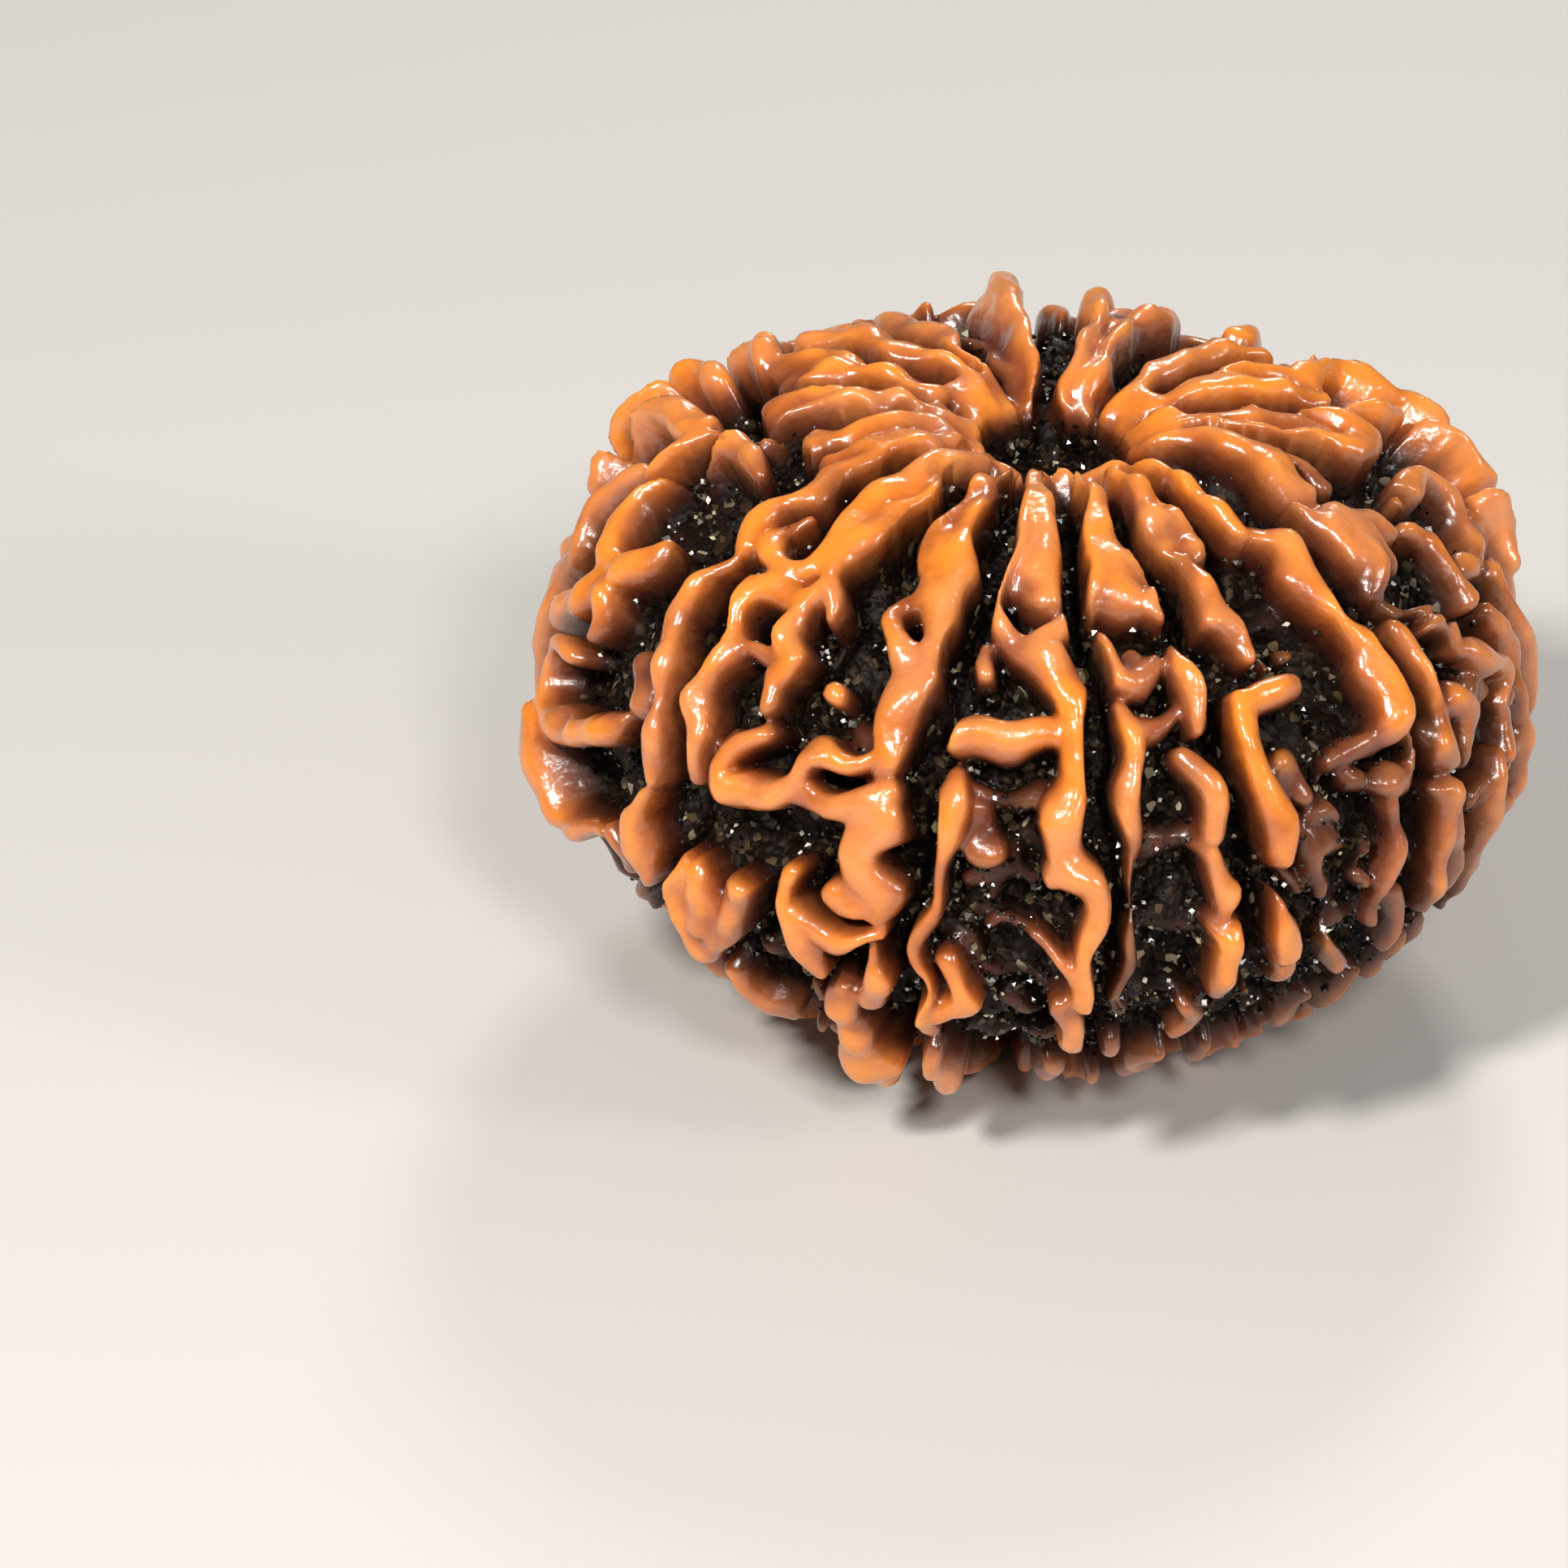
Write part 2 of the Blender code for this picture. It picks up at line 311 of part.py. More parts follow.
TOP_BACK = [
    [(96, 87, 0.4, 0.9), (97, 77, 0.8, 0.86), (98, 70, 1.1, 0.84), (96, 65, 1.0, 0.88)],
    [(104, 61, 0.65, 1.05), (109, 56, 0.72, 1.15), (111, 50, 0.6, 1.2)],
    [(116, 87, 0.4, 0.95), (116, 76, 0.65, 1.0), (114, 68, 0.65, 1.0), (111, 64, 0.5, 0.95)],
    [(122, 61, 0.55, 1.08), (125, 55, 0.75, 1.3), (121, 48, 0.7, 1.36), (117, 41, 0.62, 1.45)],
    [(109, 44, 0.55, 1.38), (109, 36, 0.66, 1.5), (105, 29, 0.6, 1.45), (102, 22, 0.5, 1.2)],
    [(137, 87, 0.35, 0.95), (136, 76, 0.6, 1.0), (131, 68, 0.6, 1.0), (127, 64, 0.45, 0.95)],
    [(143, 60, 0.75, 1.12), (143, 54, 0.75, 1.14)],
    [(168, 87, 0.3, 1.0), (168, 75, 0.4, 1.12), (169, 66, 0.5, 1.17), (169, 56, 0.5, 1.15)],
    [(156, 87, 0.3, 0.95), (157, 74, 0.4, 1.02), (157, 66, 0.45, 1.08), (156, 57, 0.5, 1.03)],
    [(-175, 87, 0.35, 0.95), (-172, 76, 0.5, 1.1), (-171, 68, 0.6, 1.24), (-171, 58, 0.55, 1.3)],
    [(-162, 87, 0.3, 0.6), (-162, 72, 0.4, 0.6), (-161, 60, 0.4, 0.5)],
    [(-148, 87, 0.4, 0.9), (-149, 75, 0.7, 0.92), (-148, 66, 0.75, 0.92), (-149, 58, 0.6, 0.9)],
    [(-133, 87, 0.4, 0.95), (-133, 75, 0.65, 1.0), (-132, 66, 0.7, 1.05), (-131, 60, 0.7, 1.05)],
    [(-114, 87, 0.35, 0.95), (-115, 76, 0.5, 0.97), (-112, 69, 0.55, 0.97),
     (-106, 66, 0.4, 0.92)],
    [(-121, 57, 0.65, 1.2), (-126, 52, 0.65, 1.26)],
    [(-113, 52, 0.6, 1.28), (-116, 45, 0.65, 1.36)],
    [(101, 87, 0.25, 0.95), (105, 77, 0.4, 1.0), (106, 70, 0.5, 1.02), (103, 64, 0.6, 1.05),
     (98, 60, 0.75, 1.05), (93, 62, 0.6, 1.0)],
    [(91, 86, 0.25, 0.95), (89, 77, 0.4, 0.97), (89, 70, 0.45, 0.97), (91, 64, 0.5, 1.0)],
    [(125, 86, 0.3, 0.95), (125, 76, 0.45, 1.0), (122, 67, 0.5, 1.0), (118, 62, 0.45, 0.95)],
    [(162, 86, 0.5, 0.8), (162, 75, 0.8, 0.88), (162, 64, 1.1, 0.92), (162, 56, 1.1, 0.95)],
    [(-174, 86, 0.4, 0.8), (-171, 76, 0.65, 0.95), (-170, 66, 0.8, 1.0), (-170, 56, 0.75, 1.02)],
    [(-141, 85, 0.5, 0.85), (-141, 74, 1.1, 0.88), (-140, 64, 1.2, 0.9), (-138, 58, 1.0, 0.95)],
    [(-124, 87, 0.3, 0.93), (-124, 76, 0.5, 0.97), (-122, 67, 0.55, 1.0), (-119, 61, 0.5, 1.0)],
    [(-120, 85, 0.6, 0.85), (-120, 75, 1.4, 0.88), (-117, 66, 1.5, 0.9)],
    [(-106, 86, 0.3, 0.93), (-106, 76, 0.45, 0.97), (-103, 69, 0.5, 0.97), (-97, 65, 0.45, 0.92)],
    [(-100, 85, 0.6, 0.86), (-100, 76, 1.3, 0.88), (-97, 68, 1.3, 0.88)],
]

# Faces without strokes of their own: longitude of each groove, and the latitude where the
# drawn ridges of the crown stop
BACK_GROOVES = [86, 106, 126, 146, 182, 204, 218, 235, 253, 270]
BACK_CROWN = [32, 42, 46, 50, 52, 54, 54, 44, 26]
BACK_GROOVE_LATITUDES = (20, -10, -66)
FIRST_CROWN = 30

# The grown pattern of those faces, in degrees where no unit is given
RIM_OFFSET = 0.85 * MM
RIM_BOTTOM = -68
RIM_OVERRUN = 8
RIM_LENGTH = (14, 34)
RIM_GAP = (2, 4)
RIM_SPACING = 7
RIM_WANDER = 1.6
RIM_HALF_WIDTH = (0.42, 0.62)
RIM_END_NARROWING = 0.1
RIM_END_DROP = 0.08
LEAST_RADIUS = 3 * MM
BAR_STEP = (9, 14)
BAR_SLANT = 4
BAR_WANDER = 1.5
BAR_HEIGHTS = (0.6, 0.85, 0.95)
BAR_SHARE = 0.6
SPUR_SHARE = 0.25

STONE_COLOUR = (0.42, 0.17, 0.045, 1.0)
STONE_ROUGHNESS = 0.32


def envelope(lon, lat):
    """Point and outward normal of the ridge-top envelope, for arrays in radians."""

    def outline(angle):
        cosine = np.maximum(np.cos(angle), 0.0)
        sine = np.sin(angle)
        upper = angle >= 0
        radius = EQUATOR_RADIUS * np.where(upper, cosine**TOP_FULLNESS, cosine**BOTTOM_FULLNESS)
        height = np.where(upper, TOP_HEIGHT * sine, -BOTTOM_DEPTH * np.abs(sine) ** BOTTOM_ROUNDNESS)
        top_dip = TOP_DIP_DEPTH * np.exp(-((radius / TOP_DIP_RADIUS) ** 2))
        bottom_dip = BOTTOM_DIP_DEPTH * np.exp(-((radius / BOTTOM_DIP_RADIUS) ** 2))
        return radius, height - np.where(upper, top_dip, -bottom_dip)

    radius, height = outline(lat)
    below = np.clip(lat - ENVELOPE_STEP, -ENVELOPE_LIMIT, ENVELOPE_LIMIT)
    above = np.clip(lat + ENVELOPE_STEP, -ENVELOPE_LIMIT, ENVELOPE_LIMIT)
    low_radius, low_height = outline(below)
    high_radius, high_height = outline(above)
    along_radius = high_radius - low_radius
    along_height = high_height - low_height
    length = np.hypot(along_radius, along_height) + 1e-12
    out_radius = along_height / length
    out_height = -along_radius / length
    point = np.stack([radius * np.sin(lon), -radius * np.cos(lon), height], axis=-1)
    normal = np.stack([out_radius * np.sin(lon), -out_radius * np.cos(lon), out_height], axis=-1)
    return point, normal


def smooth_highest(first, second):
    """The higher of two fields, with a soft fillet where they meet."""
    overlap = np.maximum(BLEND - np.abs(first - second), 0.0)
    return np.maximum(first, second) + overlap**2 / (4 * BLEND)


def smooth_steps(points):
    """Rows of numbers along a Catmull-Rom curve through the given rows, close together."""
    rows = np.array(points, float)
    rows = np.vstack([2 * rows[0] - rows[1], rows, 2 * rows[-1] - rows[-2]])
    made = []
    for before, start, end, after in zip(rows, rows[1:], rows[2:], rows[3:]):
        spot, _ = envelope(np.radians([start[0], end[0]]), np.radians([start[1], end[1]]))
        count = max(2, int(np.linalg.norm(spot[1] - spot[0]) / STROKE_STEP))
        for t in np.arange(count) / count:
            made.append(
                0.5
                * (
                    2 * start
                    + (end - before) * t
                    + (2 * before - 5 * start + 4 * end - after) * t**2
                    + (3 * start - before - 3 * end + after) * t**3
                )
            )
    made.append(rows[-2])
    return np.array(made)


def relief_scale(lat):
    """Share of the relief depth left near the two poles, where the faces run together."""
    t = np.clip((np.abs(lat) - POLE_FADE_START) / (POLE_FADE_END - POLE_FADE_START), 0.0, 1.0)
    return 1 - (1 - POLE_RELIEF_SHARE) * t * t * (3 - 2 * t)


def closest(points, start, end):
    """Distance of each point to a segment, and how far along the segment that is."""
    along = end - start
    t = np.clip((points - start) @ along / max(along @ along, 1e-12), 0.0, 1.0)
    return np.linalg.norm(points - start - t[:, None] * along, axis=1), t


def round_drop(distance, half_width):
    """How far a ridge's round cap and steep wall lie below its crest."""
    share = distance / half_width
    cap = 1 - np.sqrt(1 - np.minimum(share, CAP_EDGE) ** 2)
    past = np.maximum(share - CAP_EDGE, 0.0)
    return half_width * (cap + WALL_SLOPE * past + WALL_GROWTH * past**2)


def waves(draw, points, length):
    """An irregular smooth field of about unit size: waves of one length in chance directions."""
    total = np.zeros(len(points))
    for _ in range(WAVE_COUNT):
        way = draw.normal(size=3)
        way *= 2 * math.pi / (length * np.linalg.norm(way))
        total += np.sin(points @ way + draw.uniform(0, 2 * math.pi))
    return total * math.sqrt(2 / WAVE_COUNT)


def within_reach(spots, square, path):
    """Indices of the points that a path's ridge or groove can touch."""
    middle = path.mean(axis=0)
    radius = np.linalg.norm(path - middle, axis=1).max() + REACH
    return np.nonzero(square - 2 * spots @ middle + middle @ middle < radius**2)[0]


def add_ridge(field, spots, square, depth, widths, points):
    rows = smooth_steps(points)
    path, _ = envelope(np.radians(rows[:, 0]), np.radians(rows[:, 1]))
    near = within_reach(spots, square, path)
    if len(near) == 0:
        return
    here = spots[near]
    highest = np.full(len(near), -1.0)
    for start, end, first, second in zip(path, path[1:], rows, rows[1:]):
        distance, t = closest(here, start, end)
        half_width = (first[2] + (second[2] - first[2]) * t) * MM * widths[near]
        share = first[3] + (second[3] - first[3]) * t
        height = -depth[near] * (1 - share) - round_drop(distance, half_width)
        highest = np.maximum(highest, height)
    field[near] = smooth_highest(field[near], highest)


def cut_groove(field, spots, square, depth, points):
    rows = smooth_steps(points)
    path, _ = envelope(np.radians(rows[:, 0]), np.radians(rows[:, 1]))
    nearest = np.full(len(spots), 1.0)
    for first in range(0, len(path) - 1, GROOVE_RUN):
        run = path[first:first + GROOVE_RUN + 1]
        near = within_reach(spots, square, run)
        for start, end in zip(run, run[1:]):
            distance, _ = closest(spots[near], start, end)
            nearest[near] = np.minimum(nearest[near], distance)
    near = np.nonzero(nearest < REACH)[0]
    beyond = np.maximum(nearest[near] - GROOVE_HALF_WIDTH, 0.0)
    wall = -depth[near] + WALL_SLOPE * beyond + beyond**2 * GROOVE_GROWTH
    field[near] = -smooth_highest(-field[near], -wall)


def rim_inset(lat):
    """Degrees of longitude between a groove and the crest of the rim beside it."""
    spot, _ = envelope(np.radians([0.0]), np.radians([float(lat)]))
    return math.degrees(RIM_OFFSET / max(abs(spot[0][1]), LEAST_RADIUS))


def rim_strokes(draw, groove, inward, crown):
    """Short lengths of rim, one below the other, wandering along one side of a face."""
    strokes = []
    lat = crown - draw.uniform(0, 5)
    while lat > RIM_BOTTOM:
        last = max(lat - draw.uniform(*RIM_LENGTH), RIM_BOTTOM - RIM_OVERRUN)
        count = max(2, round((lat - last) / RIM_SPACING) + 1)
        points = []
        for index in range(count):
            here = lat + (last - lat) * index / (count - 1)
            lon = groove + inward * (rim_inset(here) + draw.uniform(0, RIM_WANDER))
            at_end = index in (0, count - 1)
            half_width = draw.uniform(*RIM_HALF_WIDTH) - RIM_END_NARROWING * at_end
            points.append((lon, here, half_width, 1.0 - RIM_END_DROP * at_end))
        strokes.append(points)
        lat = last - draw.uniform(*RIM_GAP)
    return strokes


def tie_stroke(draw, left, right, lat):
    """A bar from rim to rim, a spur from one rim, or a lone knob, by chance."""
    middle = (left + right) / 2
    slant = draw.uniform(-BAR_SLANT, BAR_SLANT)
    height = draw.choice(BAR_HEIGHTS)
    kind = draw.random()
    if kind < BAR_SHARE:
        sag = draw.uniform(-BAR_WANDER, BAR_WANDER)
        return [(left, lat + slant, 0.45, height), (middle, lat + sag, 0.5, height - 0.05),
                (right, lat - slant, 0.45, height)]
    shift = draw.uniform(-1, 1)
    if kind < BAR_SHARE + SPUR_SHARE:
        side = draw.choice((left, right))
        return [(side, lat + slant, 0.5, 0.95), (middle, lat, 0.5, 0.92),
                (middle + shift, lat - 4, 0.4, 0.9)]
    return [(middle, lat + 1, 0.5, 0.92), (middle + shift, lat - 1, 0.5, 0.92)]


def back_face(draw, west, east, crown):
    """Two rims down a face, tied by slanting bars, with knobs and spurs between them."""
    strokes = rim_strokes(draw, west, 1, crown) + rim_strokes(draw, east, -1, crown)
    lat = crown - 6
    while lat > RIM_BOTTOM + RIM_OVERRUN:
        strokes.append(tie_stroke(draw, west + rim_inset(lat), east - rim_inset(lat), lat))
        lat -= draw.uniform(*BAR_STEP)
    return strokes


def relief(lon, lat, spots):
    """Height of the surface above the envelope, negative where it lies deeper."""
    depth = RELIEF_DEPTH * relief_scale(lat)
    chance = np.random.default_rng(SEED)
    lumps = LUMP * waves(chance, spots, LUMP_LENGTH)
    widths = 1 + WIDTH_CHANGE * waves(chance, spots, WIDTH_LENGTH)
    aside = [waves(chance, spots, WANDER_LENGTH) for _ in range(3)]
    spots = spots + WANDER * np.stack(aside, axis=1)
    square = (spots**2).sum(axis=1)
    floor = FLOOR_SHARE + FLOOR_CHANGE * waves(chance, spots, FLOOR_LENGTH)
    field = -depth * (1 - np.maximum(floor, LEAST_FLOOR))
    strokes = FACE_A_B + FACE_B_C + FACE_C_D + FACE_D_F + FACE_Z_A + FACE_N_Z + TOP_BACK
    draw = random.Random(SEED)
    for west, east, crown in zip(BACK_GROOVES, BACK_GROOVES[1:], BACK_CROWN):
        strokes = strokes + back_face(draw, west, east, crown)
    for points in strokes:
        add_ridge(field, spots, square, depth, widths, points)
    grooves = list(FRONT_GROOVES)
    for lon_of_groove, crown in zip(BACK_GROOVES, [FIRST_CROWN] + BACK_CROWN):
        grooves.append([(lon_of_groove, step) for step in (82, 66, crown) + BACK_GROOVE_LATITUDES])
    for points in grooves:
        cut_groove(field, spots, square, depth, points)
    return field + lumps


def sink_mouth(points, lat, spots):
    """Takes the points inside the mouth's rim down to its floor."""
    radius = np.hypot(spots[:, 0], spots[:, 1])
    t = np.clip((MOUTH_RADIUS + MOUTH_LIP - radius) / (2 * MOUTH_LIP), 0.0, 1.0)
    share = np.where(lat > 0, t * t * (3 - 2 * t), 0.0)
    points[:, 2] += (MOUTH_FLOOR - points[:, 2]) * share


def seed_points(directions):
    """Surface point for each direction from the seed's middle, leaning and lifted to its rest."""
    lon = np.arctan2(directions[:, 0], -directions[:, 1])
    lat = np.arcsin(np.clip(directions[:, 2], -1.0, 1.0))
    spots, normals = envelope(lon, lat)
    heights = relief(lon, lat, spots)
    points = spots + normals * heights[:, None]
    sink_mouth(points, lat, spots)
    cosine = math.cos(LEAN)
    sine = math.sin(LEAN)
    across = points[:, 0] * cosine + points[:, 2] * sine
    upright = points[:, 2] * cosine - points[:, 0] * sine
    return np.stack([across, points[:, 1], upright + REST_DEPTH], axis=1)


def clear_scene():
    for thing in list(bpy.data.objects):
        bpy.data.objects.remove(thing, do_unlink=True)


def new_collection(name):
    made = bpy.data.collections.new(name)
    bpy.context.scene.collection.children.link(made)
    return made


def stone_material():
    material = bpy.data.materials.new("stone")
    material.use_nodes = True
    shader = material.node_tree.nodes["Principled BSDF"]
    shader.inputs["Base Color"].default_value = STONE_COLOUR
    shader.inputs["Roughness"].default_value = STONE_ROUGHNESS
    shader.inputs["Metallic"].default_value = 0.0
    return material


def seed_mesh():
    shape = bmesh.new()
    bmesh.ops.create_icosphere(shape, subdivisions=SPHERE_SUBDIVISIONS, radius=1.0)
    mesh = bpy.data.meshes.new("rudraksha_stone")
    shape.to_mesh(mesh)
    shape.free()
    directions = np.empty(len(mesh.vertices) * 3)
    mesh.vertices.foreach_get("co", directions)
    points = seed_points(directions.reshape(-1, 3))
    mesh.vertices.foreach_set("co", points.ravel())
    mesh.update()
    return mesh


def ground_cutter(collection):
    """A box whose top face is the surface that the seed rests on."""
    side = 4 * EQUATOR_RADIUS
    shape = bmesh.new()
    bmesh.ops.create_cube(shape, size=side)
    mesh = bpy.data.meshes.new("ground_cutter")
    shape.to_mesh(mesh)
    shape.free()
    cutter = bpy.data.objects.new("ground_cutter", mesh)
    cutter.location = (0.0, 0.0, -side / 2)
    cutter.hide_render = True
    cutter.display_type = "WIRE"
    collection.objects.link(cutter)
    return cutter


def centre_on_origin(stone):
    """Moves the stone so that the middle of its outline lies over the origin."""
    bpy.context.view_layer.update()
    corners = np.array(stone.evaluated_get(bpy.context.evaluated_depsgraph_get()).bound_box)
    middle = (corners.min(axis=0) + corners.max(axis=0)) / 2
    stone.location = (-middle[0], -middle[1], 0.0)


def build_seed():
    seed = new_collection("rudraksha_seed")
    cutters = new_collection("cutters")
    mesh = seed_mesh()
    mesh.materials.append(stone_material())
    stone = bpy.data.objects.new("rudraksha_stone", mesh)
    seed.objects.link(stone)
    even = stone.modifiers.new("even_mesh", "REMESH")
    even.mode = "VOXEL"
    even.voxel_size = EVEN_MESH
    even.use_smooth_shade = True
    soft = stone.modifiers.new("soft_walls", "SMOOTH")
    soft.factor = SMOOTH_SHARE
    soft.iterations = SMOOTH_ROUNDS
    fewer = stone.modifiers.new("fewer_triangles", "DECIMATE")
    fewer.ratio = KEPT_SHARE
    rest = stone.modifiers.new("resting_flat", "BOOLEAN")
    rest.object = ground_cutter(cutters)
    rest.operation = "DIFFERENCE"
    rest.solver = "EXACT"
    mesh.shade_smooth()
    centre_on_origin(stone)


clear_scene()
build_seed()
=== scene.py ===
import math
import random

import bmesh
import bpy
import numpy as np
from mathutils import Matrix, Vector, kdtree


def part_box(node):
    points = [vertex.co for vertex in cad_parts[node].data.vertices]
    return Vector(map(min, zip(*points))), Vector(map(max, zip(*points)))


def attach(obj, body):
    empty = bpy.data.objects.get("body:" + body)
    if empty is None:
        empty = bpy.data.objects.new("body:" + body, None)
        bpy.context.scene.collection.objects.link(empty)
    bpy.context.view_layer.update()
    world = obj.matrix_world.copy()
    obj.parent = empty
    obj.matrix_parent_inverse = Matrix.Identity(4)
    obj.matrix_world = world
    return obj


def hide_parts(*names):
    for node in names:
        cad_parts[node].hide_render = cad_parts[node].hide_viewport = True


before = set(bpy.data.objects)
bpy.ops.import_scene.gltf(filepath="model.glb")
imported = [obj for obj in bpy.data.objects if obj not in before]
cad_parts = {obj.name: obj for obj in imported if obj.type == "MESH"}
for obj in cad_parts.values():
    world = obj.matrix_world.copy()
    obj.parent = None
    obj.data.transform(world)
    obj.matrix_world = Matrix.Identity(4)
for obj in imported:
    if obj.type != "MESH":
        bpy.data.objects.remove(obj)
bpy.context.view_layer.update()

# The stone repeats the design of its CAD solid: an envelope where the ridge tops lie, and a
# relief measured inwards from it. Longitude 0 faces -Y and grows towards +X.
MM = 0.001
EQUATOR_RADIUS = 16.0 * MM
TOP_HEIGHT = 10.7 * MM
BOTTOM_DEPTH = 10.9 * MM
TOP_FULLNESS = 0.68
BOTTOM_FULLNESS = 1.12
BOTTOM_ROUNDNESS = 0.92
TOP_DIP_DEPTH = 2.4 * MM
TOP_DIP_RADIUS = 3.0 * MM
BOTTOM_DIP_DEPTH = 1.3 * MM
BOTTOM_DIP_RADIUS = 2.0 * MM
MOUTH_RADIUS = 2.0 * MM
MOUTH_LIP = 0.3 * MM
MOUTH_FLOOR = 7.0 * MM

# Relief: its depth, and what is left of it near the poles
RELIEF_DEPTH = 2.5 * MM
POLE_RELIEF_SHARE = 0.6
POLE_FADE_START = math.radians(70)
POLE_FADE_END = math.radians(87)

# Ridges with round caps and steep walls, and the grooves between the faces
CAP_EDGE = 0.92
WALL_SLOPE = 4.0
WALL_GROWTH = 50.0
BLEND = 0.16 * MM
GROOVE_HALF_WIDTH = 0.27 * MM
GROOVE_GROWTH = 40.0 / MM

# Floors of the pits, as shares of the relief
FLOOR_SHARE = 0.15
FLOOR_CHANGE = 0.12
FLOOR_LENGTH = 2.8 * MM
LEAST_FLOOR = 0.02

# Unevenness: waves that move the net aside, most on the back, and change its width and height
WAVE_COUNT = 9
WANDER = 0.13 * MM
WANDER_LENGTH = 2.4 * MM
SWAY = 0.30 * MM
SWAY_LENGTH = 4.4 * MM
BACK_START = math.radians(92)
BACK_TOP = math.radians(64)
BACK_FADE = math.radians(20)
WIDTH_CHANGE = 0.17
WIDTH_LENGTH = 1.9 * MM
LUMP = 0.08 * MM
LUMP_LENGTH = 1.5 * MM

# How closely the envelope and the strokes are followed, and how far a stroke reaches
ENVELOPE_STEP = math.radians(0.2)
ENVELOPE_LIMIT = math.radians(89.9)
STROKE_STEP = 0.45 * MM
REACH = 2.6 * MM
GROOVE_RUN = 8

# The stone's lean, and how high its middle lies
LEAN = math.radians(2.5)
REST_DEPTH = 10.1 * MM
SEED = 19

# Grooves between the faces, as points of longitude and latitude in degrees
FRONT_GROOVES = [
    [(-75, 66), (-70, 60), (-69, 50)],
    [(-66, 38), (-67, 30), (-68, 22), (-66, 15)],
    [(-62, 6), (-60, 0)],
    [(-57, 76), (-54, 70), (-53, 65)],
    [(-54, 50), (-53, 43), (-52, 37), (-52, 30), (-52, 24), (-50, 19), (-49, 12), (-48, 4),
     (-49, -6), (-48, -18)],
    [(-33, 85), (-33, 80), (-33, 74), (-33, 66), (-33, 56), (-33, 47), (-34, 40), (-35, 33)],
    [(-37, 10), (-34, 4), (-34, -6), (-33, -16), (-32, -28), (-31, -45)],
    [(-17, 86), (-17, 81), (-15, 70), (-13, 60), (-15, 50), (-15, 40), (-16, 30), (-15, 20),
     (-16, 5), (-16, -14), (-17, -35)],
    [(-18, -45), (-17, -60)],
    [(3, 86), (3, 82), (3, 70), (3, 60), (4, 50), (5, 40), (5, 28), (6, 20), (8, 10), (7, 0),
     (7, -12), (7, -30), (6, -60)],
    [(18, 86), (18, 80), (17, 70), (19, 60), (21, 52), (22, 42), (22, 30), (23, 20), (24, 8),
     (25, -6), (24, -20), (22, -60)],
    [(34, 85), (34, 80), (35, 74), (37, 67), (35, 60), (36, 54), (40, 47), (40, 38), (38, 33)],
    [(37, 22), (40, 12), (36, 2), (33, -10), (33, -25), (34, -60)],
    [(60, 80), (60, 74), (56, 66), (54, 56), (54, 49), (52, 42), (52, 33), (51, 24), (51, 14),
     (49, 4), (49, -14), (48, -60)],
    [(84, 78), (84, 68), (82, 60), (80, 55)],
    [(70, 42), (67, 38)],
    [(182, 87), (181, 78), (182, 66)],
    [(66, 16), (62, 12), (60, 2), (60, -10), (62, -30), (64, -60)],
]

